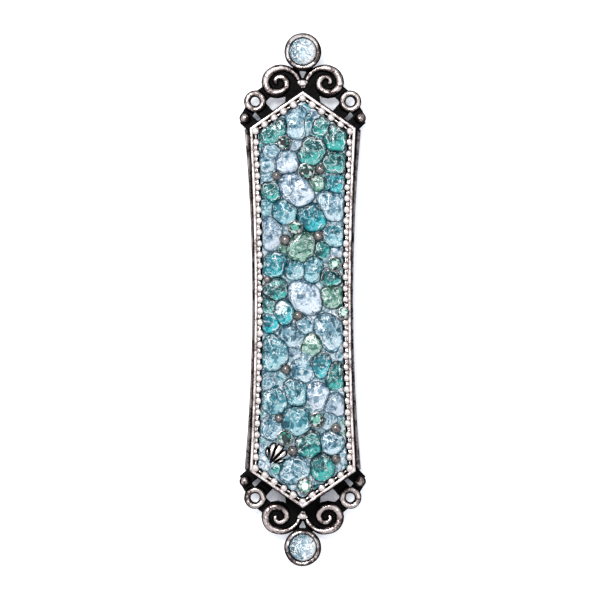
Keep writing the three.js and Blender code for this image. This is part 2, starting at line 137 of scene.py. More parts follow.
def makePiece(name, mesh, material, replaced=(), body="case", sharp=38):
    mesh.name = name
    mesh.transform(Matrix.Scale(mm, 4))
    mesh.materials.clear()
    mesh.materials.append(material)
    mesh.shade_smooth()
    mesh.set_sharp_from_angle(angle=math.radians(sharp))
    piece = bpy.data.objects.new(name, mesh)
    bpy.context.scene.collection.objects.link(piece)
    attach(piece, body)
    if replaced:
        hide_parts(*replaced)
    return piece


def giveValues(mesh, name, values):
    attribute = mesh.attributes.new(name, "FLOAT", "POINT")
    attribute.data.foreach_set("value", values)


def giveVectors(mesh, name, values):
    attribute = mesh.attributes.new(name, "FLOAT_VECTOR", "POINT")
    attribute.data.foreach_set("vector", [number for value in values for number in value])


def smoothLine(points, steps):
    # a smooth line through points of any number of values
    line = []
    for i in range(len(points) - 1):
        a, b, c, d = (points[min(max(i + k, 0), len(points) - 1)] for k in (-1, 0, 1, 2))
        for step in range(steps):
            t = step / steps
            line.append([
                0.5 * (2 * q + (r - p) * t + (2 * p - 5 * q + 4 * r - s) * t * t
                       + (3 * q - p - 3 * r + s) * t ** 3)
                for p, q, r, s in zip(a, b, c, d)
            ])
    line.append(list(points[-1]))
    return line


def addBall(solid, x, z, depth, radius, around=20, down=12, squash=1.0):
    rings = []
    for i in range(1, down):
        fall = math.pi * i / down
        r = radius * math.sin(fall)
        rings.append([
            at(x + r * math.cos(turnAt(j, around)), z + r * math.sin(turnAt(j, around)),
               depth + squash * radius * math.cos(fall))
            for j in range(around)
        ])
    return loft(solid, rings)


def addTurned(solid, x, z, profile, around=64, wobble=None):
    # profile of (radius, depth); wobble gives each point's change of radius
    rings = []
    for radius, depth in profile:
        ring = []
        for j in range(around):
            turn = turnAt(j, around)
            r = radius + (wobble(turn, radius, depth) if wobble else 0)
            ring.append(at(x + r * math.cos(turn), z + r * math.sin(turn), depth))
        rings.append(ring)
    return loft(solid, rings)


# ---- the case's outline, from the frame

trayVerts = vertsOf("jewel_tray")
cornerX = max(v.x for v in trayVerts)
cornerZ = max(v.z for v in trayVerts if v.x > cornerX - 0.01)
pointZ = max(v.z for v in trayVerts)
waistX = max(v.x for v in trayVerts if abs(v.z) < 1)
rimTop = max(-v.y for v in trayVerts)
trayBack = min(-v.y for v in trayVerts)
slope = math.atan2(pointZ - cornerZ, cornerX)


def widthAt(z, inset):
    return waistX - inset + (cornerX - waistX) * (z / cornerZ) ** 2


def pointAt(inset):
    return pointZ - inset / math.cos(slope)


def reachAt(z, inset):
    # half width at any height, on the long sides and on the slopes
    return max(min(widthAt(z, inset), (pointAt(inset) - abs(z)) / math.tan(slope)), 0)


def hexagon(inset, flare=0.0, steps=28, slopeSteps=6):
    corner = pointAt(inset) - (cornerX - inset + flare) * math.tan(slope)
    right = []
    for i in range(steps + 1):
        z = corner * (2 * i / steps - 1)
        right.append((widthAt(z, inset) + flare * (z / corner) ** 2, z))
    top = (0, pointAt(inset))
    rise = [(right[-1][0] * (1 - i / slopeSteps), right[-1][1] + (top[1] - right[-1][1]) * i / slopeSteps)
            for i in range(1, slopeSteps + 1)]
    half = [(-x, z) for x, z in rise[-2::-1]]
    left = [(-x, -z) for x, z in right]
    fall = [(-x, -z) for x, z in rise]
    rest = [(x, -z) for x, z in rise[-2::-1]]
    return right + rise + half + left + fall + rest


def sweep(solid, profile, closed=False):
    # profile of (inset, depth, flare) carried round the outline
    rings = [[at(x, z, depth) for x, z in hexagon(inset, flare)] for inset, depth, flare in profile]
    return loft(solid, rings, closed=closed)


print("outline: waist %.2f, corner %.2f at %.2f, point %.2f" % (waistX, cornerX, cornerZ, pointZ))


# ---- shader building

def feed(tree, socket, value):
    if isinstance(value, bpy.types.NodeSocket):
        tree.links.new(value, socket)
    else:
        socket.default_value = value


def addNode(tree, kind, inputs=None, **settings):
    node = tree.nodes.new("ShaderNode" + kind)
    for key, value in settings.items():
        setattr(node, key, value)
    for key, value in (inputs or {}).items():
        feed(tree, node.inputs[key], value)
    return node


def calc(tree, operation, a, b=0.0, clamp=False):
    return addNode(tree, "Math", {0: a, 1: b}, operation=operation, use_clamp=clamp).outputs[0]


def plus(tree, a, b):
    return calc(tree, "ADD", a, b)


def minus(tree, a, b):
    return calc(tree, "SUBTRACT", a, b)


def times(tree, a, b):
    return calc(tree, "MULTIPLY", a, b)


def swing(tree, value, amount):
    # a value from 0 to 1, turned into a push either way
    return times(tree, minus(tree, value, 0.5), amount)


def scaled(tree, vector, factor):
    return addNode(tree, "VectorMath", {0: vector, "Scale": factor}, operation="SCALE").outputs[0]


def moved(tree, vector, by):
    return addNode(tree, "VectorMath", {0: vector, 1: by}, operation="ADD").outputs[0]


def stretched(tree, vector, factors):
    return addNode(tree, "VectorMath", {0: vector, 1: factors}, operation="MULTIPLY").outputs[0]


def separate(tree, vector):
    return addNode(tree, "SeparateXYZ", {0: vector}).outputs


def attributeOf(tree, name, output="Fac"):
    return addNode(tree, "Attribute", attribute_name=name).outputs[output]


def openness(tree, reach):
    # falls from 1 in the open to 0 where other surfaces are close
    return addNode(tree, "AmbientOcclusion", {"Distance": reach}, samples=8).outputs["AO"]


def remap(tree, value, low, high, toLow=0.0, toHigh=1.0):
    node = addNode(tree, "MapRange", {"Value": value, "From Min": low, "From Max": high,
                                      "To Min": toLow, "To Max": toHigh}, interpolation_type="SMOOTHSTEP")
    return node.outputs[0]


def lineAt(tree, value, level, outer, inner, strength=1.0):
    # a line where a value crosses a level
    gap = calc(tree, "ABSOLUTE", minus(tree, value, level))
    return remap(tree, gap, outer, inner, 0.0, strength)


def blendColour(tree, factor, a, b, blend="MIX"):
    node = addNode(tree, "Mix", {0: factor, 6: a, 7: b}, data_type="RGBA", blend_type=blend)
    return node.outputs[2]


def ramp(tree, factor, stops):
    node = addNode(tree, "ValToRGB", {"Fac": factor})
    while len(node.color_ramp.elements) < len(stops):
        node.color_ramp.elements.new(0.5)
    for element, (position, colour) in zip(node.color_ramp.elements, stops):
        element.position = position
        element.color = colour
    return node.outputs["Color"]


def noiseOf(tree, vector, scale, detail=3.0, distortion=0.0, roughness=0.55):
    node = addNode(tree, "TexNoise", {"Vector": vector, "Scale": scale, "Detail": detail,
                                      "Distortion": distortion, "Roughness": roughness})
    return node.outputs[0]


def paint(red, green, blue):
    # a colour given as screen values, as a scene colour
    def toScene(value):
        value /= 255
        return value / 12.92 if value <= 0.04045 else ((value + 0.055) / 1.055) ** 2.4
    return (toScene(red), toScene(green), toScene(blue), 1.0)


def newGroup(name, inputs, outputs):
    group = bpy.data.node_groups.new(name, "ShaderNodeTree")
    kinds = {"value": "NodeSocketFloat", "colour": "NodeSocketColor", "vector": "NodeSocketVector"}
    for label, kind, value in inputs:
        socket = group.interface.new_socket(name=label, in_out="INPUT", socket_type=kinds[kind])
        socket.default_value = value
    for label, kind in outputs:
        group.interface.new_socket(name=label, in_out="OUTPUT", socket_type=kinds[kind])
    start = group.nodes.new("NodeGroupInput")
    end = group.nodes.new("NodeGroupOutput")
    return group, start.outputs, end.inputs


def millimetres(tree):
    return scaled(tree, addNode(tree, "TexCoord").outputs["Object"], 1 / mm)


def splinters(tree, place, scale, waveScale, wave):
    # uneven cells: each one's own tone, and the distance to the seam with the next
    waves = addNode(tree, "TexNoise", {"Vector": place, "Scale": waveScale}).outputs["Color"]
    bent = moved(tree, place, scaled(tree, waves, wave))
    cells = addNode(tree, "TexVoronoi", {"Vector": bent, "Scale": scale}).outputs["Color"]
    seam = addNode(tree, "TexVoronoi", {"Vector": bent, "Scale": scale}, feature="DISTANCE_TO_EDGE")
    return separate(tree, cells)[0], seam.outputs["Distance"]


def newMaterial(name):
    material = bpy.data.materials.new(name)
    material.use_nodes = True
    tree = material.node_tree
    shader = tree.nodes["Principled BSDF"]
    return material, tree, shader


def placeGroup(tree, group, inputs):
    node = tree.nodes.new("ShaderNodeGroup")
    node.node_tree = group
    for label, value in inputs.items():
        feed(tree, node.inputs[label], value)
    return node.outputs


def bumpFrom(tree, height, strength, distance):
    return addNode(tree, "Bump", {"Height": height, "Strength": strength, "Distance": distance}).outputs[0]


def surface(tree, shader, colour, roughness, height, strength, distance):
    feed(tree, shader.inputs["Base Color"], colour)
    feed(tree, shader.inputs["Roughness"], roughness)
    feed(tree, shader.inputs["Normal"], bumpFrom(tree, height, strength, distance))


# ---- shared effects

def silverEffect():
    # buffed high spots over black patina, kept in the recesses and in patches; faces turned aside from the
    # front are darkened as well, partly patina and partly painted shade, so each wire has a painted highlight
    # down its middle and dark painted edges
    group, given, out = newGroup("agedAndShadedSilver", [
        ("Bright", "colour", (0.9, 0.9, 0.9, 1)), ("Tarnish", "colour", (0.2, 0.2, 0.2, 1)),
        ("Patina", "colour", (0.01, 0.01, 0.01, 1)), ("Low", "value", 0.0), ("High", "value", 1.0),
        ("Side Wear And Light", "value", 0.3), ("Patches", "value", 0.4), ("Reach", "value", 0.001),
        ("Gloss", "value", 0.25),
    ], [("Color", "colour"), ("Roughness", "value"), ("Metallic", "value"), ("Height", "value")])
    place = millimetres(group)
    depth = times(group, separate(group, place)["Y"], -1.0)
    raised = remap(group, depth, given["Low"], given["High"])
    facing = separate(group, addNode(group, "NewGeometry").outputs["Normal"])["Y"]
    # painted shade on faces turned aside from the front, partly real buffing of the front faces; the side
    # wear and light sets how far the sides are spared
    front = remap(group, times(group, facing, -1.0), 0.42, 0.88)
    front = calc(group, "MAXIMUM", front, given["Side Wear And Light"])
    clearOf = remap(group, openness(group, given["Reach"]), 0.35, 0.8)
    broad = noiseOf(group, place, 0.38, 4.0, 0.5)
    fine = noiseOf(group, place, 2.6, 4.0, 0.4, 0.65)
    patches = plus(group, times(group, broad, 0.6), times(group, fine, 0.5))
    patches = remap(group, patches, 0.44, 0.68)
    # the back rubs against the door post, so it is worn at any depth
    back = remap(group, facing, 0.3, 0.8, 0.0, 0.75)
    wearAndLight = calc(group, "MAXIMUM", times(group, raised, front), back)
    wearAndLight = times(group, wearAndLight, clearOf)
    wearAndLight = calc(group, "SUBTRACT", wearAndLight, times(group, patches, given["Patches"]), clamp=True)
    wornAndLit = remap(group, wearAndLight, 0.05, 0.45)
    bright = remap(group, wearAndLight, 0.3, 0.85)
    colour = blendColour(group, wornAndLit, given["Patina"], given["Tarnish"])
    colour = blendColour(group, bright, colour, given["Bright"])
    feed(group, out["Color"], colour)
    rough = plus(group, given["Gloss"], times(group, fine, 0.14))
    feed(group, out["Roughness"], plus(group, rough, remap(group, wornAndLit, 0, 1, 0.2, 0.0)))
    feed(group, out["Metallic"], wornAndLit)
    scratches = noiseOf(group, stretched(group, place, (9.0, 9.0, 1.6)), 1.0, 3.0, 0.2)
    feed(group, out["Height"], plus(group, fine, times(group, scratches, 0.35)))
    return group


def stoneEffect():
    # tumbled glassy stone: mottled body, a painted pool of light low down, painted shade along the upper
    # contour, painted glint flecks and cracks
    group, given, out = newGroup("tumbledStone", [
        ("Deep", "colour", (0, 0.1, 0.1, 1)), ("Body", "colour", (0, 0.3, 0.3, 1)),
        ("Pale", "colour", (0.8, 0.9, 0.9, 1)), ("Mottle", "value", 1.0), ("Lit Crescent", "value", 1.0),
        ("Glint Flecks", "value", 0.5), ("Cracks", "value", 0.5), ("Shaded Contour", "value", 0.6),
    ], [("Color", "colour"), ("Roughness", "value"), ("Height", "value")])
    shift = scaled(group, (23.0, 31.0, 17.0), attributeOf(group, "stoneSeed"))
    place = moved(group, millimetres(group), shift)
    broad = noiseOf(group, place, 0.42, 2.0, 0.8)
    cloud = noiseOf(group, place, 0.7, 2.0, 1.2, 0.5)
    grain = noiseOf(group, place, 2.4, 1.0, 0.8, 0.5)
    # planes inside the stone: uneven cells of their own tone, with a painted glint along the seam where two
    # meet
    cell, seam = splinters(group, place, 0.62, 0.6, 1.6)
    across, up, share = separate(group, attributeOf(group, "stonePlace", "Vector"))
    wave = swing(group, broad, 1.6)
    # a slope across each stone from the upper left, where the light comes from, to the lower right; the
    # painted light and shade follow it
    lean = plus(group, times(group, across, 0.42), times(group, up, -0.8))
    lean = plus(group, lean, wave)
    litCrescent = times(group, remap(group, lean, 0.12, 0.55), remap(group, share, 0.97, 0.72))
    litCrescent = times(group, litCrescent, remap(group, share, 0.15, 0.5))
    shadedContour = times(group, remap(group, lean, 0.1, -0.55), remap(group, share, 0.62, 0.9))
    mottle = plus(group, swing(group, cloud, 2.0),
                  swing(group, grain, 0.55))
    mottle = plus(group, mottle, swing(group, cell, 0.55))
    level = plus(group, times(group, mottle, given["Mottle"]), 0.46)
    level = plus(group, level, times(group, attributeOf(group, "stoneTone"), 0.35))
    level = plus(group, level, times(group, litCrescent, given["Lit Crescent"]))
    level = minus(group, level, times(group, shadedContour, given["Shaded Contour"]))
    colour = blendColour(group, remap(group, level, 0.0, 0.5), given["Deep"], given["Body"])
    colour = blendColour(group, remap(group, level, 0.5, 1.05), colour, given["Pale"])
    # painted glints: flecks and the seams between the cells, lightened to near white
    seamGlints = times(group, remap(group, seam, 0.06, 0.015), remap(group, cloud, 0.45, 0.6))
    glintSpeck = calc(group, "MAXIMUM", remap(group, noiseOf(group, place, 0.9, 1.0, 1.2), 0.66, 0.7), seamGlints)
    glintFlecks = times(group, glintSpeck, given["Glint Flecks"])
    colour = blendColour(group, glintFlecks, colour, (0.9, 0.97, 1.0, 1.0))
    pits = remap(group, noiseOf(group, place, 1.1, 1.0, 1.6), 0.35, 0.3)
    colour = blendColour(group, times(group, pits, 0.35), colour, given["Deep"])
    # a long painted glint inside the outline, with a painted line of shade outside it
    glintColour = (0.95, 0.99, 1.0, 1.0)
    bend = plus(group, share, swing(group, broad, 0.6))
    lit = remap(group, noiseOf(group, place, 0.33, 1.0, 0.6), 0.48, 0.6)
    shadeLine = times(group, lineAt(group, bend, 0.83, 0.05, 0.02), lit)
    glintLine = times(group, lineAt(group, bend, 0.74, 0.04, 0.015), lit)
    colour = blendColour(group, times(group, shadeLine, given["Cracks"]), colour, given["Deep"])
    colour = blendColour(group, times(group, glintLine, 0.7), colour, glintColour)
    # cracks: a dark line with a painted glint beside it, broken up
    swirl = minus(group, noiseOf(group, place, 0.62, 2.0, 2.2), 0.5)
    line = calc(group, "ABSOLUTE", swirl)
    broken = remap(group, cloud, 0.42, 0.56)
    cracks = times(group, times(group, remap(group, line, 0.026, 0.006), given["Cracks"]), broken)
    colour = blendColour(group, cracks, colour, given["Deep"])
    glint = times(group, lineAt(group, swirl, 0.045, 0.026, 0.008), given["Cracks"])
    colour = blendColour(group, times(group, glint, broken), colour, glintColour)
    # painted shade round the rim of each stone, where stones meet
    edge = times(group, remap(group, share, 0.88, 0.97), 0.85)
    colour = blendColour(group, edge, colour, given["Deep"])
    feed(group, out["Color"], colour)
    feed(group, out["Roughness"], remap(group, grain, 0.3, 0.8, 0.04, 0.2))
    height = plus(group, times(group, cloud, 1.0), times(group, line, -0.7))
    feed(group, out["Height"], height)
    return group


silverGroup = silverEffect()
stoneGroup = stoneEffect()


# ---- finishes

def silverMaterial(name, low, high, bright=(248, 238, 235), tarnish=(108, 93, 91), patina=(1, 1, 2),
                   sideWearAndLight=0.25, patches=0.4, reach=1.2, gloss=0.2, relief=0.25):
    material, tree, shader = newMaterial(name)
    out = placeGroup(tree, silverGroup, {
        "Bright": paint(*bright), "Tarnish": paint(*tarnish), "Patina": paint(*patina),
        "Low": low, "High": high, "Side Wear And Light": sideWearAndLight, "Patches": patches,
        "Reach": reach * mm, "Gloss": gloss,
    })
    surface(tree, shader, out["Color"], out["Roughness"], out["Height"], relief, 0.1 * mm)
    feed(tree, shader.inputs["Metallic"], out["Metallic"])
    shader.inputs["Specular IOR Level"].default_value = 0.06
    return material


def stoneMaterial(name, deep, body, pale, mottle=1.0, litCrescent=0.8, glintFlecks=0.5, cracks=0.9, shadedContour=0.6):
    material, tree, shader = newMaterial(name)
    out = placeGroup(tree, stoneGroup, {
        "Deep": paint(*deep), "Body": paint(*body), "Pale": paint(*pale), "Mottle": mottle,
        "Lit Crescent": litCrescent, "Glint Flecks": glintFlecks, "Cracks": cracks, "Shaded Contour": shadedContour,
    })
    surface(tree, shader, out["Color"], out["Roughness"], out["Height"], 0.3, 0.3 * mm)
    shader.inputs["IOR"].default_value = 1.5
    return material


castSilver = silverMaterial("castSilver", 3.35, 3.85, bright=(216, 203, 200), patches=0.8)
rimSilver = silverMaterial("rimSilver", 11.0, 12.3, bright=(232, 221, 219), sideWearAndLight=0.1,
                           patches=0.6, reach=0.5, gloss=0.28)
beadSilver = silverMaterial("beadSilver", 11.6, 12.1, patches=0.2, sideWearAndLight=0.0, reach=0.7, gloss=0.16)
# a darker copy for the side walls: patina, and painted shade on walls that face aside
wallSilver = silverMaterial("wallSilver", -1.0, 0.0, bright=(150, 140, 140), tarnish=(44, 38, 40),
                            sideWearAndLight=0.5, patches=0.75, reach=4.0, gloss=0.28)
spurSilver = silverMaterial("spurSilver", 2.9, 3.6, patches=0.1, reach=0.3)
cupSilver = silverMaterial("cupSilver", 3.2, 5.6, patches=0.75, reach=0.8)
coverSilver = silverMaterial("coverSilver", -2.0, -1.0, bright=(205, 200, 200), tarnish=(110, 104, 106),
                             sideWearAndLight=0.9, patches=0.45, reach=1.0, gloss=0.3)

stoneTints = {
    "teal": stoneMaterial("tealStone", (0, 44, 50), (0, 98, 100), (56, 168, 162), mottle=0.9, glintFlecks=0.2),
    "turquoise": stoneMaterial("turquoiseStone", (0, 60, 74), (0, 114, 128), (46, 178, 188),
                               mottle=0.9, glintFlecks=0.2),
    "aqua": stoneMaterial("aquaStone", (6, 70, 84), (54, 128, 144), (146, 192, 202), shadedContour=0.45),
    "ice": stoneMaterial("iceStone", (26, 72, 92), (94, 142, 160), (186, 210, 222), shadedContour=0.4),
    "lavender": stoneMaterial("lavenderStone", (50, 82, 104), (120, 149, 169), (200, 213, 226), shadedContour=0.4),
    "green": stoneMaterial("greenStone", (16, 64, 54), (70, 126, 110), (140, 184, 166), glintFlecks=0.3),
}


# ---- stones

stoneValues = {"around": 56, "up": 12, "fullness": 2.55, "sunk": 0.4, "foot": 0.93, "facets": 4,
               "soft": 0.1, "wobble": 0.09, "edge": 1.9, "grow": 0.13, "rounds": 8, "lap": 0.24,
               "uneven": 0.2}
stoneTones = {
    "teal_stone_1": 0.0, "aqua_stone_6": -0.4, "lavender_stone_4": 0.6, "ice_stone_9": -0.2,
    "aqua_stone_7": 0.3,
}
setIn = []  # every stone, chip and fragment
otherOutlines = []  # beads, crystals and the charm


def outlineAround(points, centre, around):
    # how far the outline of some points reaches from a centre, at even angles
    hull = [Vector(points[i]) for i in geometry.convex_hull_2d(points)]
    reach = []
    for j in range(around):
        turn = turnAt(j, around)
        far = centre + 50 * Vector((math.cos(turn), math.sin(turn)))
        hits = [geometry.intersect_line_line_2d(centre, far, hull[k - 1], hull[k]) for k in range(len(hull))]
        reach.append(max((hit - centre).length for hit in hits if hit is not None))
    return reach


def rounded(values, passes):
    for _ in range(passes):
        values = [(values[i - 1] + 2 * values[i] + values[(i + 1) % len(values)]) / 4
                  for i in range(len(values))]
    return values


def stoneSolid(solid, centre, reach, base, top, seed, attributes):
    chance = random.Random(seed)
    around = len(reach)
    up = stoneValues["up"]
    power = 2 / stoneValues["fullness"]
    soft = stoneValues["soft"]
    cuts = []
    for _ in range(stoneValues["facets"]):
        turn = chance.uniform(0, 2 * math.pi)
        cuts.append((math.cos(turn), math.sin(turn), chance.uniform(0.2, 0.75), chance.uniform(0.78, 1.02)))
    mean = sum(reach) / around
    rings = []
    for i in range(-1, up + 1):
        rise = max(i, 0) / (up + 0.35)
        share = math.cos(rise * math.pi / 2) ** power if i >= 0 else stoneValues["foot"]
        height = math.sin(rise * math.pi / 2) ** power if i >= 0 else -stoneValues["sunk"] / (top - base)
        ring = []
        for j in range(around):
            turn = turnAt(j, around)
            x = share * reach[j] * math.cos(turn)
            z = share * reach[j] * math.sin(turn)
            level = height
            for cx, cz, fall, peak in cuts:
                plane = peak - fall * (x * cx + z * cz) / mean
                blend = max(0.0, min(1.0, 0.5 + 0.5 * (plane - level) / soft))
                level = plane + (level - plane) * blend - soft * blend * (1 - blend)
            wobble = noise.noise(Vector((x * 0.8 + seed * 3.7, z * 0.8, seed * 1.3)))
            wobble = wobble * stoneValues["wobble"] * min(share, 1)
            depth = base + (top - base) * (level + (wobble if i > 0 else 0))
            ring.append(at(centre.x + x, centre.y + z, depth))
            attributes["place"].append((x / mean, z / mean, share))
            attributes["seed"].append(seed % 97 / 7.3)
            attributes["tone"].append(attributes["currentTone"])
        rings.append(ring)
    loft(solid, rings)


def newStoneAttributes(tone):
    return {"place": [], "seed": [], "tone": [], "currentTone": tone}


def finishStone(name, solid, attributes, material, replaced=()):
    mesh = meshOf(name, solid)
    giveVectors(mesh, "stonePlace", attributes["place"])
    giveValues(mesh, "stoneSeed", attributes["seed"])
    giveValues(mesh, "stoneTone", attributes["tone"])
    return makePiece(name, mesh, material, replaced, sharp=60)


def gatherStones():
    for number, name in enumerate(sorted(n for n in nodes if "_stone_" in n)):
        low, high = boxOf(name)
        points = [(v.x, v.z) for v in vertsOf(name)]
        centre = Vector(((low.x + high.x) / 2, (low.z + high.z) / 2))
        reach = rounded(outlineAround(points, centre, stoneValues["around"]), 1)
        for j, r in enumerate(reach):
            turn = turnAt(j, len(reach))
            bulge = noise.noise(Vector((1.1 * math.cos(turn), 1.1 * math.sin(turn), number * 2.7)))
            reach[j] = r * (1 + stoneValues["uneven"] * bulge)
        setIn.append({
            "name": name + "_polished", "centre": centre, "reach": reach, "base": -high.y, "top": -low.y,
            "seed": number * 11 + 11, "tone": stoneTones.get(name, 0.0), "tint": name.split("_")[0],
            "replaced": [name],
        })


def gapAt(x, z, near):
    # distance from a point to the nearest outline, less than nothing inside one
    gap = 9.0
    for c, reach in near:
        dx, dz = x - c.x, z - c.y
        k = math.atan2(dz, dx) / (2 * math.pi) % 1 * len(reach)
        i = int(k) % len(reach)
        part = k - int(k)
        gap = min(gap, math.hypot(dx, dz) - reach[i] * (1 - part) - reach[(i + 1) % len(reach)] * part)
    return gap


def growStones():
    # each stone spreads until it meets its neighbours, so their sides run along each other
    grow = stoneValues["grow"]
    for _ in range(stoneValues["rounds"]):
        for stone in setIn:
            others = [(o["centre"], o["reach"]) for o in setIn if o is not stone
                      and (o["centre"] - stone["centre"]).length < 10]
            others += [o for o in otherOutlines if (o[0] - stone["centre"]).length < 8]
            count = len(stone["reach"])
            wider = []
            for j, r in enumerate(stone["reach"]):
                angle = turnAt(j, count)
                x = stone["centre"].x + (r + grow) * math.cos(angle)
                z = stone["centre"].y + (r + grow) * math.sin(angle)
                free = gapAt(x, z, others) > -stoneValues["lap"] and abs(x) < reachAt(z, stoneValues["edge"])
                wider.append(r + grow if free else r)
            stone["reach"] = [max(r, soft - 0.03) for r, soft in zip(stone["reach"], rounded(wider, 2))]


def buildStones(stones):
    for stone in stones:
        attributes = newStoneAttributes(stone["tone"])
        solid = newSolid()
        stoneSolid(solid, stone["centre"], stone["reach"], stone["base"], stone["top"], stone["seed"],
                   attributes)
        tint = stone["tint"]
        finishStone(stone["name"], solid, attributes, stoneTints[tint], stone["replaced"])


def edgeReach(centre, angle, inset):
    # how far a point of the resin can go before it meets the border
    length = 0.0
    while length < 6:
        x = centre.x + length * math.cos(angle)
        z = centre.y + length * math.sin(angle)
        if abs(x) > reachAt(z, inset):
            break
        length += 0.1
    return max(length, 0.4)


# slivers and chips between the stones: x, z, half length, half width, turn, tint
chipValues = {
    "base": 11.5, "rise": 1.0, "risePerWidth": 0.4, "point": 1.6,
    "chips": [
        (1.4, 41.8, 3.1, 1.1, 80, "aqua"), (4.2, 41.0, 2.4, 2.3, 30, "teal"),
        (-7.5, 35.1, 2.2, 1.5, 0, "ice"), (-8.5, 32.4, 2.6, 1.9, 90, "ice"),
        (3.4, 27.7, 2.15, 1.45, -10, "green"), (-8.9, 22.2, 2.4, 1.4, 80, "aqua"),
        (4.7, 11.8, 2.3, 1.7, -60, "teal"), (-2.0, 7.0, 2.5, 2.15, 0, "aqua"),
        (-8.3, -1.5, 2.15, 1.7, 90, "teal"), (-8.0, -5.55, 2.3, 2.0, 0, "turquoise"),
        (0.5, -6.3, 2.0, 1.9, 0, "ice"), (2.1, -10.7, 2.9, 2.3, 80, "green"),
        (2.9, 44.0, 1.1, 1.1, 0, "lavender"), (-1.7, 36.9, 1.6, 1.2, 0, "lavender"),
        (-8.2, 29.3, 1.2, 1.2, 0, "ice"), (7.7, 11.2, 1.3, 1.1, 0, "lavender"),
        (-2.1, -12.7, 1.4, 1.4, 0, "lavender"), (-8.2, -20.1, 1.3, 1.3, 0, "ice"),
        (-6.4, -40.2, 1.1, 0.9, 20, "teal"),
    ],
}


def gatherChips():
    around = 40
    for i, (x, z, long, short, turn, tint) in enumerate(chipValues["chips"]):
        reach = []
        for j in range(around):
            angle = turnAt(j, around)
            part = angle - math.radians(turn)
            point = chipValues["point"]
            r = (abs(math.cos(part) / long) ** point + abs(math.sin(part) / short) ** point) ** (-1 / point)
            reach.append(min(r, edgeReach(Vector((x, z)), angle, stoneValues["edge"])))
        setIn.append({
            "name": "stone_chip_%d" % (i + 1), "centre": Vector((x, z)), "reach": reach,
            "base": chipValues["base"],
            "top": chipValues["base"] + chipValues["rise"] + chipValues["risePerWidth"] * short,
            "seed": 700 + i * 13, "tone": 0.1, "tint": tint, "replaced": (),
        })


# small fragments that take up what room is left, largest gaps first
fineValues = {"step": 0.4, "least": 0.5, "lap": 0.22, "furthest": 1.7, "edge": 2.1, "around": 28,
              "most": 80, "top": 12.2,
              "tints": ("ice", "lavender", "aqua", "ice", "lavender", "green", "teal", "aqua", "turquoise")}


def allOutlines():
    return otherOutlines + [(stone["centre"], stone["reach"]) for stone in setIn]


def gatherFines():
    v = fineValues
    chance = random.Random(12)
    spots = []
    z = -pointZ
    while z < pointZ:
        half = reachAt(z, v["edge"])
        x = -half
        while x < half:
            spots.append((x, z, gapAt(x, z, [o for o in allOutlines() if abs(o[0].y - z) < 8])))
            x += v["step"]
        z += v["step"]
    count = 0
    while count < v["most"]:
        x, z, gap = max(spots, key=lambda spot: spot[2])
        if gap < v["least"]:
            break
        centre = Vector((x, z))
        near = [o for o in allOutlines() if (o[0] - centre).length < 9]
        reach = []
        for j in range(v["around"]):
            angle = turnAt(j, v["around"])
            length = 0.2
            limit = v["furthest"] * chance.uniform(0.9, 1.0)
            while length < limit:
                px, pz = x + length * math.cos(angle), z + length * math.sin(angle)
                if gapAt(px, pz, near) < -v["lap"] or abs(px) > reachAt(pz, v["edge"]):
                    break
                length += 0.12
            reach.append(length)
        reach = rounded(reach, 1)
        spots = [(sx, sz, min(sg, gapAt(sx, sz, [(centre, reach)])) if abs(sx - x) + abs(sz - z) < 6 else sg)
                 for sx, sz, sg in spots]
        count += 1
        setIn.append({
            "name": "fragment_%d" % count, "centre": centre, "reach": reach, "base": chipValues["base"],
            "top": v["top"] + 0.4 * sum(reach) / len(reach) + chance.uniform(-0.15, 0.2),
            "seed": 1500 + count * 17, "tone": chance.uniform(-0.2, 0.4), "tint": chance.choice(v["tints"]),
            "replaced": (),
        })
    print("fragments:", count)


gatherStones()
gatherChips()


# ---- leaf charm

charmValues = {
    "centre": (-6.3, -36.6), "keepOff": 2.5, "radius": 2.9, "turn": -33, "fan": 120, "flutes": 5,
    "scallop": 0.09, "base": 11.6, "rise": 1.55, "around": 120, "rings": 26,
    "grooveDepth": 0.85, "grooveWidth": 0.22,
}


def lineGap(x, z, line):
    # distance from a point to the nearest stretch of a line
    point = Vector((x, z))
    gaps = []
    for start, end in zip(line, line[1:]):
        nearest, part = geometry.intersect_point_line(point, Vector(start), Vector(end))
        nearest = Vector(nearest[:2]) if 0 <= part <= 1 else Vector(start if part < 0 else end)
        gaps.append((point - nearest).length)
    return min(gaps)


def leafPoint(part, reach):
    # a point of the fan leaf: its share of the fan, and how far out from the stem
    v = charmValues
    angle = math.radians(90 + v["fan"] * (part - 0.5))
    far = 2 * v["radius"] * math.sin(angle) * reach
    far *= 1 - v["scallop"] * (1 - abs(math.sin(math.pi * part * v["flutes"])))
    x, z = far * math.cos(angle), far * math.sin(angle) - v["radius"]
    turn = math.radians(v["turn"])
    return Vector((v["centre"][0] + x * math.cos(turn) - z * math.sin(turn),
                   v["centre"][1] + x * math.sin(turn) + z * math.cos(turn)))


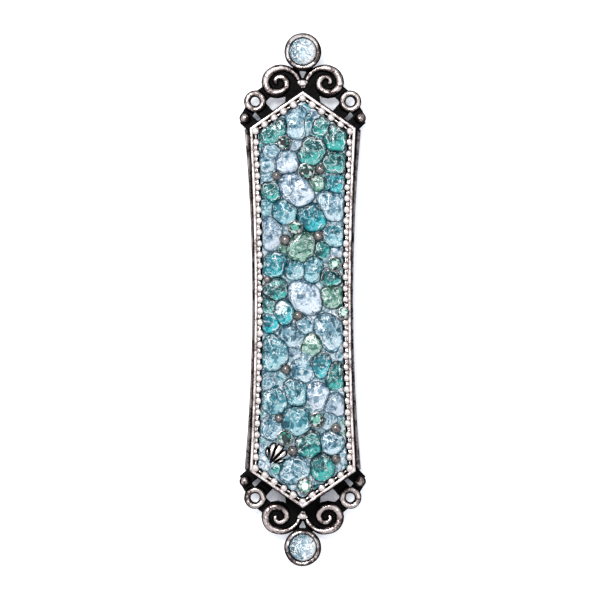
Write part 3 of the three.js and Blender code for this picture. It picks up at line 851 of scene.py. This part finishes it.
def makeCharm():
    v = charmValues
    centre = Vector(v["centre"])
    steps = 12 * v["flutes"]
    points = [leafPoint(0.5, 0.0)] + [leafPoint(i / steps, 0.98) for i in range(steps + 1)]
    grooves = [[leafPoint(k / v["flutes"], 0.16), leafPoint(k / v["flutes"], 1.1)]
               for k in range(1, v["flutes"])]
    rings = [[] for _ in range(v["rings"] + 2)]
    for j in range(v["around"]):
        turn = turnAt(j + 0.37, v["around"])
        out = Vector((math.cos(turn), math.sin(turn)))
        hits = [geometry.intersect_line_line_2d(centre, centre + 9 * out, points[k - 1], points[k])
                for k in range(len(points))]
        reach = max((hit - centre).length for hit in hits if hit is not None)
        edge = centre + reach * out
        rings[0].append(at(edge.x, edge.y, v["base"] - 0.3))
        for i in range(v["rings"] + 1):
            share = 1 - i / (v["rings"] + 0.4)
            point = centre + share * reach * out
            gap = min(lineGap(point.x, point.y, line) for line in grooves)
            groove = v["grooveDepth"] * math.exp(-(gap / v["grooveWidth"]) ** 2)
            crown = (1 - share ** 5) ** 0.5 * (0.86 + 0.14 * (1 - share))
            depth = v["base"] + v["rise"] * crown - groove * (1 - share ** 8)
            rings[i + 1].append(at(point.x, point.y, depth))
    mesh = meshOf("leaf", loft(newSolid(), rings))
    leafSilver = silverMaterial("leafSilver", 12.4, 12.8, patches=0.45, reach=0.6)
    makePiece("fluted_leaf", mesh, leafSilver, ["leaf_charm"], sharp=80)
    print("leaf charm made")


# ---- resin, with beads and cut crystals set in it

beadValues = {
    "depth": 12.2, "stretch": 1.05,
    "beads": [
        (-6.2, 29.5, 1.1), (4.1, 31.0, 1.2), (-4.2, 14.2, 1.3), (3.7, 15.2, 1.25), (-8.4, 4.9, 0.85),
        (-1.15, -3.8, 1.2), (-4.0, -16.6, 1.2), (-5.6, -28.2, 1.05), (7.9, -30.6, 1.2), (-2.4, -36.0, 1.2),
        (7.9, -37.9, 1.1),
    ],
}


def gunmetalMaterial():
    material, tree, shader = newMaterial("gunmetal")
    place = millimetres(tree)
    broad = noiseOf(tree, place, 1.4, 4.0, 0.4)
    fine = noiseOf(tree, place, 6.0, 3.0)
    colour = ramp(tree, broad, [
        (0.3, paint(84, 80, 80)), (0.55, paint(142, 136, 134)), (0.75, paint(186, 180, 176)),
    ])
    # painted shade where the beads sink into the resin
    contactShade = remap(tree, openness(tree, 1.5 * mm), 0.25, 0.75, 0.9, 0.0)
    colour = blendColour(tree, contactShade, colour, paint(6, 7, 8))
    surface(tree, shader, colour, remap(tree, fine, 0.2, 0.8, 0.16, 0.32), fine, 0.2, 0.06 * mm)
    shader.inputs["Metallic"].default_value = 0.9
    return material


def setBeads():
    solid = newSolid()
    for x, z, radius in beadValues["beads"]:
        addBall(solid, x, z, beadValues["depth"] + 0.3 * radius, radius * beadValues["stretch"], 28, 18)
        otherOutlines.append((Vector((x, z)), [radius * 0.92] * 12))
    makePiece("metal_beads", meshOf("metal_beads", solid), gunmetalMaterial(), sharp=70)
    print("beads:", len(beadValues["beads"]))


# radii are shares of the stone's own; each claw bead is (share, height over the girdle, radius)
crystalValues = {
    "table": 0.52, "middle": 0.76, "middleDrop": 0.42, "girdle": 0.97, "lower": 0.95, "foot": 0.5,
    "crown": 0.34, "sides": 8, "reflectionLevels": (0.1, 0.25, 0.45, 0.6, 0.85, 1.0),
    "clawBeads": ((1.04, 0.05, 0.24), (0.9, 0.3, 0.2)),
}


def crystalMaterial():
    material, tree, shader = newMaterial("cutCrystal")
    glints = noiseOf(tree, millimetres(tree), 1.9, 3.0, 1.5)
    # each facet's random light or dark, up to white, is painted reflection; the noise breaks it up and sets
    # the roughness
    level = plus(tree, attributeOf(tree, "facetReflection"), swing(tree, glints, 0.9))
    colour = ramp(tree, level, [
        (0.16, paint(0, 14, 16)), (0.36, paint(4, 74, 70)), (0.55, paint(56, 170, 150)),
        (0.76, paint(176, 232, 214)), (0.94, paint(255, 255, 255)),
    ])
    feed(tree, shader.inputs["Base Color"], colour)
    feed(tree, shader.inputs["Roughness"], remap(tree, glints, 0.3, 0.7, 0.02, 0.08))
    shader.inputs["IOR"].default_value = 1.65
    shader.inputs["Coat Weight"].default_value = 1.0
    shader.inputs["Transmission Weight"].default_value = 0.2
    return material


def setCrystals():
    material = crystalMaterial()
    claws = newSolid()
    v = crystalValues
    sides = v["sides"]
    for name in sorted(n for n in nodes if n.startswith("crystal_")):
        low, high = boxOf(name)
        x, z = (low.x + high.x) / 2, (low.z + high.z) / 2
        radius = (high.x - low.x) / 2
        base, top = -high.y, -low.y
        otherOutlines.append((Vector((x, z)), [radius] * 12))
        chance = random.Random(int(name.split("_")[1]) * 31)
        turn = chance.uniform(0, 1)
        points, faces = [], []

        def ring(share, depth, offset=0.0, count=sides):
            start = len(points)
            for j in range(count):
                a = turn + turnAt(j + offset, count)
                points.append(at(x + share * radius * math.cos(a), z + share * radius * math.sin(a), depth))
            return [start + j for j in range(count)]

        girdleDepth = top - (top - base) * v["crown"]
        table = ring(v["table"], top)
        middle = ring(v["middle"], top - v["middleDrop"] * (top - girdleDepth), 0.5)
        girdle = ring(v["girdle"], girdleDepth, 0.0, sides * 2)
        lower = ring(v["lower"], girdleDepth - 0.12, 0.0, sides * 2)
        foot = ring(v["foot"], base, 0.0, sides * 2)
        faces.append(tuple(table))
        for j in range(sides):
            k = (j + 1) % sides
            faces.append((table[j], middle[j], table[k]))
            faces.append((table[k], middle[j], girdle[2 * k], middle[k]))
            faces.append((middle[j], girdle[2 * j], girdle[2 * j + 1]))
            faces.append((middle[j], girdle[2 * j + 1], girdle[(2 * j + 2) % (2 * sides)]))
        for upper, under in ((girdle, lower), (lower, foot)):
            for j in range(2 * sides):
                k = (j + 1) % (2 * sides)
                faces.append((upper[j], under[j], under[k], upper[k]))
        faces.append(tuple(foot))
        mesh = meshOf(name, {"points": points, "faces": faces})
        reflectionLevels = mesh.attributes.new("facetReflection", "FLOAT", "FACE")
        reflectionLevels.data.foreach_set("value", [chance.choice(v["reflectionLevels"]) for _ in mesh.polygons])
        makePiece(name + "_cut", mesh, material, [name], sharp=5)
        # the setting: a collar under the girdle, and four claws folded over it
        collar = [(radius * 0.6, base), (radius * 1.1, base + 0.1), (radius * 1.16, girdleDepth - 0.05),
                  (radius * 1.02, girdleDepth + 0.02), (radius * 0.8, girdleDepth - 0.3)]
        addTurned(claws, x, z, collar, 32)
        for j in range(4):
            a = turn + math.pi / 2 * j + 0.3
            for share, over, size in v["clawBeads"]:
                addBall(claws, x + share * radius * math.cos(a), z + share * radius * math.sin(a),
                        girdleDepth + over, size, 12, 8)
    makePiece("crystal_claws", meshOf("crystal_claws", claws),
              silverMaterial("clawSilver", 11.5, 13.6, bright=(190, 190, 190), tarnish=(50, 48, 50),
                             patches=0.5, reach=0.6), sharp=50)
    print("crystals set")


def resinMaterial():
    material, tree, shader = newMaterial("clearedResin")
    place = millimetres(tree)
    broad = noiseOf(tree, place, 0.5, 3.0, 0.8)
    fine = noiseOf(tree, place, 2.6, 4.0, 1.0)
    # splinters held in it: uneven cells of their own tone, with dark seams
    cell, seam = splinters(tree, place, 0.85, 0.9, 1.3)
    level = plus(tree, times(tree, broad, 0.45), times(tree, fine, 0.3))
    level = plus(tree, level, times(tree, cell, 0.32))
    colour = ramp(tree, level, [
        (0.3, paint(46, 90, 104)), (0.45, paint(102, 140, 154)), (0.58, paint(148, 176, 188)),
        (0.74, paint(222, 232, 240)),
    ])
    colour = blendColour(tree, remap(tree, seam, 0.07, 0.015, 0.0, 0.75), colour, paint(44, 78, 92))
    glint = lineAt(tree, seam, 0.13, 0.04, 0.015, 0.6)
    colour = blendColour(tree, times(tree, glint, remap(tree, broad, 0.45, 0.6)), colour, (1, 1, 1, 1))
    # painted shade in the narrow gaps between stones
    contactShade = remap(tree, openness(tree, 1.4 * mm), 0.1, 0.6, 0.6, 0.0)
    colour = blendColour(tree, contactShade, colour, paint(48, 76, 90))
    height = plus(tree, fine, times(tree, remap(tree, seam, 0.0, 0.2), 0.8))
    surface(tree, shader, colour, remap(tree, fine, 0.3, 0.7, 0.05, 0.16), height, 0.3, 0.2 * mm)
    return material


resinValues = {"level": 11.95, "bottom": 11.35, "inset": 1.95, "rows": 260, "columns": 56, "climb": 0.15,
               "spread": 0.25, "ripple": 0.15}


def pourResin():
    v = resinValues
    tip = pointAt(v["inset"]) - 0.05
    solid = newSolid()
    near = [(c, r, max(r)) for c, r in allOutlines()]
    grids = []
    for under in (False, True):
        grid = []
        for i in range(v["rows"] + 1):
            z = tip * (2 * i / v["rows"] - 1)
            half = reachAt(z, v["inset"])
            close = [(c, reach) for c, reach, far in near if abs(c.y - z) < far + 1.5]
            row = []
            for j in range(v["columns"] + 1):
                x = half * (2 * j / v["columns"] - 1)
                depth = v["bottom"]
                if not under:
                    gap = gapAt(x, z, close)
                    depth = v["level"] + v["climb"] * math.exp(-max(gap, 0) / v["spread"])
                    depth += v["ripple"] * noise.noise(Vector((x, z, 0)) * 0.7)
                    if j in (0, v["columns"]) or i in (0, v["rows"]):
                        depth = v["level"] - 0.1
                row.append(len(solid["points"]))
                solid["points"].append(at(x, z, depth))
            grid.append(row)
        grids.append(grid)
    upper, lower = grids
    rows, columns = v["rows"], v["columns"]
    for grid in grids:
        for i in range(rows):
            for j in range(columns):
                solid["faces"].append((grid[i][j], grid[i][j + 1], grid[i + 1][j + 1], grid[i + 1][j]))
    for i in range(rows):
        for j in (0, columns):
            solid["faces"].append((upper[i][j], upper[i + 1][j], lower[i + 1][j], lower[i][j]))
    for j in range(columns):
        for i in (0, rows):
            solid["faces"].append((upper[i][j], upper[i][j + 1], lower[i][j + 1], lower[i][j]))
    makePiece("resin_fill", meshOf("resin_fill", solid), resinMaterial(), ["stone_bed"], sharp=60)
    print("resin poured")


setBeads()
setCrystals()
otherOutlines.append((Vector(charmValues["centre"]), [charmValues["keepOff"]] * 12))
growStones()
gatherFines()
buildStones(setIn)
print("stones, chips and fragments:", len(setIn))
pourResin()


# ---- tray, rim and beaded border

trayValues = {"floor": 10.85, "rimTop": rimTop, "soft": 0.12, "flat": 0.64, "innerFoot": 1.0}


def makeTray():
    v = trayValues
    soft, top = v["soft"], v["rimTop"]
    profile = [
        (0.5, trayBack, 0), (0.12, trayBack, 0), (0.0, trayBack + 0.12, 0), (0.0, top - 2.2 * soft, 0),
        (0.3 * soft, top - 0.9 * soft, 0), (soft, top - 0.2 * soft, 0), (1.9 * soft, top, 0),
        (v["flat"] - soft, top, 0), (v["flat"], top - 0.3 * soft, 0),
        (v["flat"] + 0.7 * soft, top - 1.1 * soft, 0),
        (v["innerFoot"] - 0.08, 11.45, 0), (v["innerFoot"], v["floor"], 0),
    ]
    solid = sweep(newSolid(), profile)
    makePiece("silver_tray", meshOf("silver_tray", solid), rimSilver, ["jewel_tray"])
    print("tray made")


borderValues = {
    "inner": 2.15, "outer": 0.62, "bottom": 10.85, "innerTop": 11.2, "outerTop": 12.3, "slopeTop": 11.25,
    "bead": 1.1, "sideBead": 0.9, "squash": 0.78, "beadDepth": 11.95, "small": 0.32, "voxel": 0.14,
}


def makeBorder():
    v = borderValues
    poles = {}
    for vert in vertsOf("beaded_border"):
        spot = (round(vert.x, 2), round(vert.z, 2))
        poles[spot] = max(poles.get(spot, 0), -vert.y)
    highest = max(poles.values())
    beads = sorted((spot for spot, depth in poles.items() if depth > highest - 0.02),
                   key=lambda spot: math.atan2(spot[1], spot[0]))
    solid = sweep(newSolid(), [(v["outer"], v["bottom"], 0), (v["outer"], v["outerTop"], 0),
                               (v["inner"], v["innerTop"], 0), (v["inner"], v["bottom"], 0)], closed=True)
    slopeFrom = pointAt(v["outer"]) - (cornerX - 0.5) * math.tan(slope)
    for point in solid["points"]:
        if abs(point.z) > slopeFrom and -point.y > v["innerTop"] + 0.3:
            point.y += v["outerTop"] - v["slopeTop"]
    chance = random.Random(5)
    for i, (x, z) in enumerate(beads):
        size = v["bead"] * chance.uniform(0.95, 1.04) * (v["sideBead"] if abs(z) < cornerZ - 1 else 1)
        addBall(solid, x + chance.uniform(-0.04, 0.04), z + chance.uniform(-0.05, 0.05), v["beadDepth"], size,
                24, 14, v["squash"])
        nextX, nextZ = beads[(i + 1) % len(beads)]
        small = v["small"] * chance.uniform(0.85, 1.1)
        addBall(solid, (x + nextX) / 2, (z + nextZ) / 2, v["beadDepth"], small, 12, 8)
    skin = castSkin(meshOf("border", solid), v["voxel"], 1, [(0.03, 1.1), (0.012, 4.0)])
    makePiece("beaded_frame", skin, beadSilver, ["beaded_border"], sharp=80)
    print("border beads:", len(beads), "faces:", len(skin.polygons))


makeTray()
makeBorder()


# ---- case, cover and parchment

def softened(name, width):
    # a machined part with its edges broken
    mesh = nodes[name].data.copy()
    mesh.transform(Matrix.Scale(1 / mm, 4))
    shape = bmesh.new()
    shape.from_mesh(mesh)
    bmesh.ops.remove_doubles(shape, verts=shape.verts, dist=0.002)
    bmesh.ops.dissolve_limit(shape, angle_limit=math.radians(1), verts=shape.verts, edges=shape.edges)
    shape.to_mesh(mesh)
    shape.free()
    return evaluated(mesh, [("BEVEL", {"width": width, "segments": 2, "limit_method": "ANGLE",
                                       "angle_limit": math.radians(35), "use_clamp_overlap": True})])


mouldingValues = {"edge": 0.55, "flare": 0.66, "foot": 2.15, "wall": 0.5, "neck": 9.9}


def makeCase():
    makePiece("case_walls", softened("case_shell", 0.12), wallSilver, ["case_shell"])
    makePiece("sliding_back", softened("back_cover", 0.1), coverSilver, ["back_cover"],
              body="cover")
    v = mouldingValues
    profile = [(0.75, v["foot"] - 0.4, 0), (-v["edge"], v["foot"] - 0.4, v["flare"])]
    for i in range(9):
        # a hollow curve from the flange up to the wall
        turn = math.pi / 2 * i / 8
        share = 1 - math.cos(turn)
        profile.append((-v["edge"] + (v["edge"] + v["wall"]) * math.sin(turn),
                        v["foot"] + 3.2 * share, v["flare"] * (1 - math.sin(turn))))
    profile += [(v["wall"], v["neck"] - 0.9, 0), (0.3, v["neck"] - 0.35, 0), (0.02, v["neck"] - 0.1, 0),
                (0.02, v["neck"], 0), (0.75, v["neck"], 0)]
    solid = sweep(newSolid(), profile, closed=True)
    makePiece("side_moulding", meshOf("side_moulding", solid), wallSilver)
    print("case made")


parchmentValues = {"turns": 5.5, "sheet": 0.14, "around": 40}


def parchmentMaterial():
    material, tree, shader = newMaterial("parchmentSheet")
    place = millimetres(tree)
    fibres = noiseOf(tree, stretched(tree, place, (4.0, 4.0, 0.7)), 1.5, 5.0, 0.4)
    blot = noiseOf(tree, place, 0.18, 3.0)
    level = plus(tree, times(tree, fibres, 0.55), times(tree, blot, 0.45))
    colour = ramp(tree, level, [
        (0.3, paint(206, 184, 142)), (0.5, paint(232, 217, 182)), (0.7, paint(243, 234, 208)),
    ])
    surface(tree, shader, colour, remap(tree, fibres, 0.3, 0.7, 0.62, 0.8), fibres, 0.3, 0.08 * mm)
    return material


def makeParchment():
    v = parchmentValues
    low, high = boxOf("parchment_scroll")
    x, depth = (low.x + high.x) / 2, -(low.y + high.y) / 2
    outer = (high.x - low.x) / 2
    inner = outer - v["turns"] * 2.6 * v["sheet"]
    steps = int(v["turns"] * v["around"])
    rings = []
    for side in (0, 1):
        for i in range(steps + 1) if side == 0 else range(steps, -1, -1):
            turn = turnAt(i, v["around"])
            r = inner + (outer - inner) * i / steps - side * v["sheet"]
            px, pd = x + r * math.cos(turn), depth + r * math.sin(turn)
            slack = 0.25 * noise.noise(Vector((i * 0.05, 3.1, 0)))
            rings.append([at(px, low.z + slack * 0.3 + 0.1, pd), at(px, high.z + slack - 0.25, pd)])
    count = len(rings)
    points = [ring[0] for ring in rings] + [ring[1] for ring in rings]
    faces = [(i, (i + 1) % count, count + (i + 1) % count, count + i) for i in range(count)]
    for i in range(steps):
        back = count - 1 - i
        faces.append((i, i + 1, back - 1, back))
        faces.append((count + i, count + back, count + back - 1, count + i + 1))
    sheet = meshOf("parchment_roll", {"points": points, "faces": faces})
    makePiece("parchment_roll", sheet, parchmentMaterial(), ["parchment_scroll"],
              body="scroll", sharp=60)
    print("parchment rolled")


makeCase()
makeParchment()


# ---- scrollwork at both ends

scrollValues = {
    "centre": (6.05, 52.1), "wireDepth": 3.5, "webCut": 2.93,
    # along the right-hand scroll's wire: degrees and radius about its centre, and the wire's own radius
    "wire": [
        (172, 5.1, 0.46), (130, 4.1, 0.72), (90, 3.26, 0.9), (45, 2.98, 0.97), (0, 2.86, 0.98),
        (-45, 2.7, 0.96), (-90, 2.46, 0.92), (-135, 2.34, 0.84), (-180, 2.16, 0.76),
        (-225, 1.7, 0.7), (-270, 1.12, 0.62), (-315, 0.74, 0.56), (-360, 0.52, 0.5), (-400, 0.4, 0.42),
    ],
    "ring": (11.4, 47.49, 1.93, 0.78, 3.2), "ball": (13.85, 43.5, 1.34, 3.7),
    "bead": (51.75, 3.9),
    "lobes": [(0.0, 0.1, 1.0), (-0.72, 0.32, 0.58), (0.7, 0.36, 0.52), (0.05, -0.62, 0.62)],
    "voxel": 0.13, "webGrow": 0.25, "hoopSteps": 40, "wireAround": 14,
}


def addWire(solid, line, depth, around=14):
    rings = []
    for i, (x, z, radius) in enumerate(line):
        before, after = line[max(i - 1, 0)], line[min(i + 1, len(line) - 1)]
        along = Vector((after[0] - before[0], after[1] - before[1])).normalized()
        side = Vector((along.y, -along.x))
        ring = []
        for j in range(around):
            turn = turnAt(j, around)
            out = side * (radius * math.cos(turn))
            ring.append(at(x + out.x, z + out.y, depth + radius * math.sin(turn)))
        rings.append(ring)
    loft(solid, rings)
    for x, z, radius in (line[0], line[-1]):
        addBall(solid, x, z, depth, radius * 0.98, 14, 8)


def webOf(name):
    # the flat web behind the wires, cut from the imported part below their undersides
    shape = bmesh.new()
    shape.from_mesh(nodes[name].data)
    bmesh.ops.transform(shape, matrix=Matrix.Scale(1 / mm, 4), verts=shape.verts)
    bmesh.ops.remove_doubles(shape, verts=shape.verts, dist=0.002)
    everything = list(shape.verts) + list(shape.edges) + list(shape.faces)
    bmesh.ops.bisect_plane(shape, geom=everything, plane_co=at(0, 0, scrollValues["webCut"]),
                           plane_no=Vector((0, -1, 0)), clear_outer=True, dist=0.0005)
    rim = [edge for edge in shape.edges if edge.is_boundary]
    bmesh.ops.triangle_fill(shape, edges=rim, use_beauty=True)
    mesh = bpy.data.meshes.new("web")
    shape.to_mesh(mesh)
    shape.free()
    return mesh


def makeScrollwork(end, sign):
    v = scrollValues
    name = end + "_scrollwork"
    solid = newSolid()
    cx, cz = v["centre"]
    polar = smoothLine(v["wire"], 8)
    for side in (1, -1):
        line = []
        for degrees, radius, wire in polar:
            turn = math.radians(degrees)
            line.append((side * (cx + radius * math.cos(turn)), sign * (cz + radius * math.sin(turn)), wire))
        addWire(solid, line, v["wireDepth"])
        rx, rz, ringRadius, ringWire, ringDepth = v["ring"]
        rings = []
        for i in range(v["hoopSteps"]):
            a = turnAt(i, v["hoopSteps"])
            x, z = side * (rx + ringRadius * math.cos(a)), sign * (rz + ringRadius * math.sin(a))
            out = Vector((x - side * rx, z - sign * rz)).normalized()
            ring = []
            for j in range(v["wireAround"]):
                b = turnAt(j, v["wireAround"])
                ring.append(at(x + out.x * ringWire * math.cos(b), z + out.y * ringWire * math.cos(b),
                               ringDepth + ringWire * math.sin(b)))
            rings.append(ring)
        loft(solid, rings, closed=True)
        bx, bz, ballRadius, ballDepth = v["ball"]
        addBall(solid, side * bx, sign * bz, ballDepth, ballRadius, 24, 16)
    beadZ, beadDepth = v["bead"]
    lobes = newSolid()
    for x, z, radius in v["lobes"]:
        addBall(lobes, x, sign * (beadZ + z), beadDepth, radius, 18, 12, 0.6)
        addBall(lobes, x, sign * (beadZ + z), v["webCut"] + 0.25, 0.8 * radius, 18, 12, 0.7)
    shape = bmesh.new()
    thicker = [("DISPLACE", {"strength": v["webGrow"], "mid_level": 0.0})]
    shape.from_mesh(evaluated(webOf(name), thicker))
    shape.from_mesh(meshOf(name, solid))
    joined = bpy.data.meshes.new(name)
    shape.to_mesh(joined)
    shape.free()
    skin = castSkin(joined, v["voxel"], 2, [(0.06, 0.7), (0.03, 2.2)])
    makePiece(end + "_scrolls", skin, castSilver, [name], sharp=80)
    bead = castSkin(meshOf(end + "_bead", lobes), 0.08, 1, [(0.03, 2.0)])
    makePiece(end + "_centre_bead", bead, spurSilver, sharp=80)
    print(end, "scrollwork cast,", len(skin.polygons), "faces")


makeScrollwork("top", 1)
makeScrollwork("bottom", -1)


# ---- cups and cabochons

cupValues = {
    # radius short of the cup's own, and height above its back
    "profile": [(4.2, 0.0), (0.2, 0.0), (-0.1, 0.35), (-0.2, 0.8), (-0.26, 2.0), (-0.22, 2.5), (-0.08, 2.95),
                (0.16, 3.24), (0.44, 3.38), (0.68, 3.33), (0.87, 3.14), (0.98, 2.8), (1.02, 2.4), (1.02, 1.2),
                (4.2, 1.2)],
    "uneven": 0.09, "lean": 0.14, "leanFrom": 2.4, "around": 96,
}
cabochonValues = {"inset": 0.02, "foot": 0.96, "wallShare": 0.42, "fullness": 0.9, "dimple": 0.16,
                  "steps": 14, "around": 64}


def cabochonMaterial():
    material, tree, shader = newMaterial("cabochonGlass")
    place = moved(tree, millimetres(tree), scaled(tree, (5.0, 3.0, 7.0), attributeOf(tree, "stoneSeed")))
    cloud = noiseOf(tree, place, 0.5, 2.0, 2.0)
    grain = noiseOf(tree, place, 2.6, 1.0, 0.8, 0.6)
    across, up, share = separate(tree, attributeOf(tree, "stonePlace", "Vector"))
    # lighter towards the right and the bottom of the dome, up to white: painted light
    level = plus(tree, times(tree, across, 0.5), times(tree, up, -0.14))
    level = plus(tree, level, swing(tree, cloud, 1.15))
    level = plus(tree, level, swing(tree, grain, 0.35))
    colour = ramp(tree, plus(tree, level, 0.5), [
        (0.12, paint(50, 96, 112)), (0.3, paint(108, 148, 166)), (0.52, paint(156, 184, 198)),
        (0.68, paint(204, 222, 230)), (0.84, paint(250, 252, 255)),
    ])
    # wavy folds in the foil under the glass: a dark line with a painted highlight beside it
    swirl = minus(tree, noiseOf(tree, place, 0.42, 2.0, 2.6), 0.5)
    lines = times(tree, remap(tree, calc(tree, "ABSOLUTE", swirl), 0.035, 0.012),
                 remap(tree, share, 0.25, 0.5, 0.3, 1.0))
    colour = blendColour(tree, times(tree, lines, 0.85), colour, paint(38, 66, 82))
    colour = blendColour(tree, lineAt(tree, swirl, 0.06, 0.035, 0.012), colour, paint(250, 253, 255))
    # painted shade round the rim of the dome
    colour = blendColour(tree, remap(tree, share, 0.9, 0.99, 0.0, 0.6), colour, paint(84, 122, 142))
    height = plus(tree, cloud, times(tree, lines, -0.3))
    surface(tree, shader, colour, remap(tree, grain, 0.3, 0.8, 0.03, 0.14), height, 0.25, 0.3 * mm)
    shader.inputs["Coat Weight"].default_value = 1.0
    shader.inputs["Coat Roughness"].default_value = 0.02
    return material


def makeCup(end, glass):
    v = cupValues
    low, high = boxOf(end + "_bezel_cup")
    x, z = (low.x + high.x) / 2, (low.z + high.z) / 2
    radius = (high.x - low.x) / 2
    back = -high.y
    seed = 3.3 if end == "top" else 8.1

    def wobble(turn, r, depth):
        where = Vector((math.cos(turn) * 1.4, math.sin(turn) * 1.4, seed + depth * 0.3))
        return v["uneven"] * noise.noise(where) * r / radius

    profile = [(max(radius - inset, 0.02), back + rise) for inset, rise in v["profile"]]
    solid = addTurned(newSolid(), x, z, profile, v["around"], wobble)
    for point in solid["points"]:
        lift = noise.noise(Vector((point.x * 0.5, point.z * 0.5, seed)))
        if -point.y > back + v["leanFrom"]:
            point.y -= v["lean"] * lift
    makePiece(end + "_cup", meshOf(end + "_cup", solid), cupSilver, [end + "_bezel_cup"])

    v = cabochonValues
    low, high = boxOf(end + "_cabochon")
    domeRadius = (high.x - low.x) / 2 - v["inset"]
    base, top = -high.y, -low.y
    wall = base + (top - base) * v["wallShare"]
    steps = v["steps"]
    profile = [(0.05, base), (domeRadius * v["foot"], base), (domeRadius, base + 0.15), (domeRadius, wall)]
    profile += [(domeRadius * math.cos(math.pi / 2 * i / steps) ** v["fullness"],
                 wall + (top - wall) * math.sin(math.pi / 2 * i / steps)) for i in range(1, steps)]
    profile.append((0.03, top))
    solid = addTurned(newSolid(), x, z, profile, v["around"])
    places, seeds = [], []
    for point in solid["points"]:
        u, w = (point.x - x) / domeRadius, (point.z - z) / domeRadius
        share = math.hypot(u, w)
        places.append((u, w, min(share, 1.0)))
        seeds.append(seed)
        if -point.y > wall + 0.01:
            point.y -= v["dimple"] * noise.noise(Vector((point.x * 0.55, point.z * 0.55, seed)))
    mesh = meshOf(end + "_glass", solid)
    giveVectors(mesh, "stonePlace", places)
    giveValues(mesh, "stoneSeed", seeds)
    makePiece(end + "_glass_dome", mesh, glass, [end + "_cabochon"], sharp=60)


glass = cabochonMaterial()
makeCup("top", glass)
makeCup("bottom", glass)
print("cups made")

makeCharm()


# ---- stage, light and camera

stageValues = {
    "wallGlow": 0.6, "wallDepth": -1.0, "floor": -76.0, "reach": 900.0,
    "wall": (250, 251, 253), "floorColour": (236, 236, 238),
}


def stagePlane(name, corners, material):
    mesh = bpy.data.meshes.new(name)
    mesh.from_pydata([corner * mm for corner in corners], [], [(0, 1, 2, 3)])
    mesh.materials.append(material)
    plane = bpy.data.objects.new(name, mesh)
    bpy.context.scene.collection.objects.link(plane)
    return plane


def paintedMaterial(name, colour, oneSided):
    material, tree, shader = newMaterial(name)
    place = millimetres(tree)
    grain = noiseOf(tree, place, 0.05, 4.0)
    shade = blendColour(tree, remap(tree, grain, 0.3, 0.7), paint(*colour), paint(*(c - 1 for c in colour)))
    feed(tree, shader.inputs["Base Color"], shade)
    shader.inputs["Roughness"].default_value = 0.9
    shader.inputs["Specular IOR Level"].default_value = 0.1
    if oneSided:
        # glows though no lamp is there, so it stays white; the glow and its colour fall to a painted shade
        # where the scrollwork's openings close it in
        shader.inputs["Emission Color"].default_value = (0.9, 0.93, 1.0, 1.0)
        clear = openness(tree, 5 * mm)
        paintedGlow = remap(tree, clear, 0.3, 0.55, 0.0, stageValues["wallGlow"])
        feed(tree, shader.inputs["Emission Strength"], paintedGlow)
        shade = blendColour(tree, remap(tree, clear, 0.2, 0.55), paint(150, 158, 182), shade)
        feed(tree, shader.inputs["Base Color"], shade)
        # seen from the front only, so the back of the case can be looked at
        glassy = addNode(tree, "BsdfTransparent")
        backside = addNode(tree, "NewGeometry").outputs["Backfacing"]
        mixed = addNode(tree, "MixShader", {0: backside, 1: shader.outputs[0], 2: glassy.outputs[0]})
        feed(tree, tree.nodes["Material Output"].inputs["Surface"], mixed.outputs[0])
    return material


def buildStage():
    v = stageValues
    reach, floor, back = v["reach"], v["floor"], v["wallDepth"]
    wall = stagePlane("plain_wall", [
        at(-reach, floor, back), at(reach, floor, back), at(reach, reach, back), at(-reach, reach, back),
    ], paintedMaterial("wallPaint", v["wall"], True))
    for look in ("visible_diffuse", "visible_glossy", "visible_transmission", "visible_shadow"):
        setattr(wall, look, False)
    stagePlane("pale_floor", [
        at(-reach, floor, reach), at(reach, floor, reach),
        at(reach, floor, -reach), at(-reach, floor, -reach),
    ], paintedMaterial("floorPaint", v["floorColour"], False))


lightValues = {
    "key": {"place": (-190, 350, 950), "size": 230, "power": 7.0, "colour": (1.0, 0.985, 0.97)},
    "fill": {"place": (420, -160, 620), "size": 500, "power": 1.2, "colour": (0.93, 0.96, 1.0)},
}
worldValues = {"front": 0.62, "side": 0.07, "top": 0.5, "left": 0.3, "seen": 0.93}


def buildLights():
    for name, v in lightValues.items():
        lamp = bpy.data.lights.new(name, "AREA")
        lamp.size = v["size"] * mm
        lamp.energy = v["power"]
        lamp.color = v["colour"]
        light = bpy.data.objects.new(name, lamp)
        light.location = at(*v["place"]) * mm
        light.rotation_euler = (-light.location).to_track_quat("-Z", "Y").to_euler()
        bpy.context.scene.collection.objects.link(light)


def buildWorld():
    v = worldValues
    world = bpy.data.worlds.new("softRoom")
    world.use_nodes = True
    tree = world.node_tree
    sky = tree.nodes["Background"]
    way = separate(tree, addNode(tree, "TexCoord").outputs["Generated"])
    front = remap(tree, times(tree, way["Y"], -1.0), 0.25, 1.0, v["side"], v["front"])
    top = remap(tree, way["Z"], 0.0, 0.9, 0.0, v["top"])
    left = remap(tree, times(tree, way["X"], -1.0), 0.0, 0.9, 0.0, v["left"])
    level = plus(tree, plus(tree, front, top), left)
    seen = addNode(tree, "LightPath").outputs["Is Camera Ray"]
    level = plus(tree, times(tree, level, minus(tree, 1.0, seen)),
                 times(tree, seen, v["seen"]))
    feed(tree, sky.inputs["Strength"], level)
    sky.inputs["Color"].default_value = (0.95, 0.97, 1.0, 1.0)
    bpy.context.scene.world = world


cameraValues = {"x": -0.65, "z": -0.1, "distance": 1202.0, "lens": 300.0, "sensor": 36, "clip": 10}


def placeCamera():
    v = cameraValues
    data = bpy.data.cameras.new("view")
    data.lens = v["lens"]
    data.sensor_width = v["sensor"]
    data.clip_end = v["clip"]
    camera = bpy.data.objects.new("view", data)
    camera.location = at(v["x"], v["z"], v["distance"]) * mm
    camera.rotation_euler = (math.pi / 2, 0, 0)
    bpy.context.scene.collection.objects.link(camera)
    bpy.context.scene.camera = camera


buildStage()
buildLights()
buildWorld()
placeCamera()
bpy.context.scene.view_settings.view_transform = "Standard"
print("stage ready")
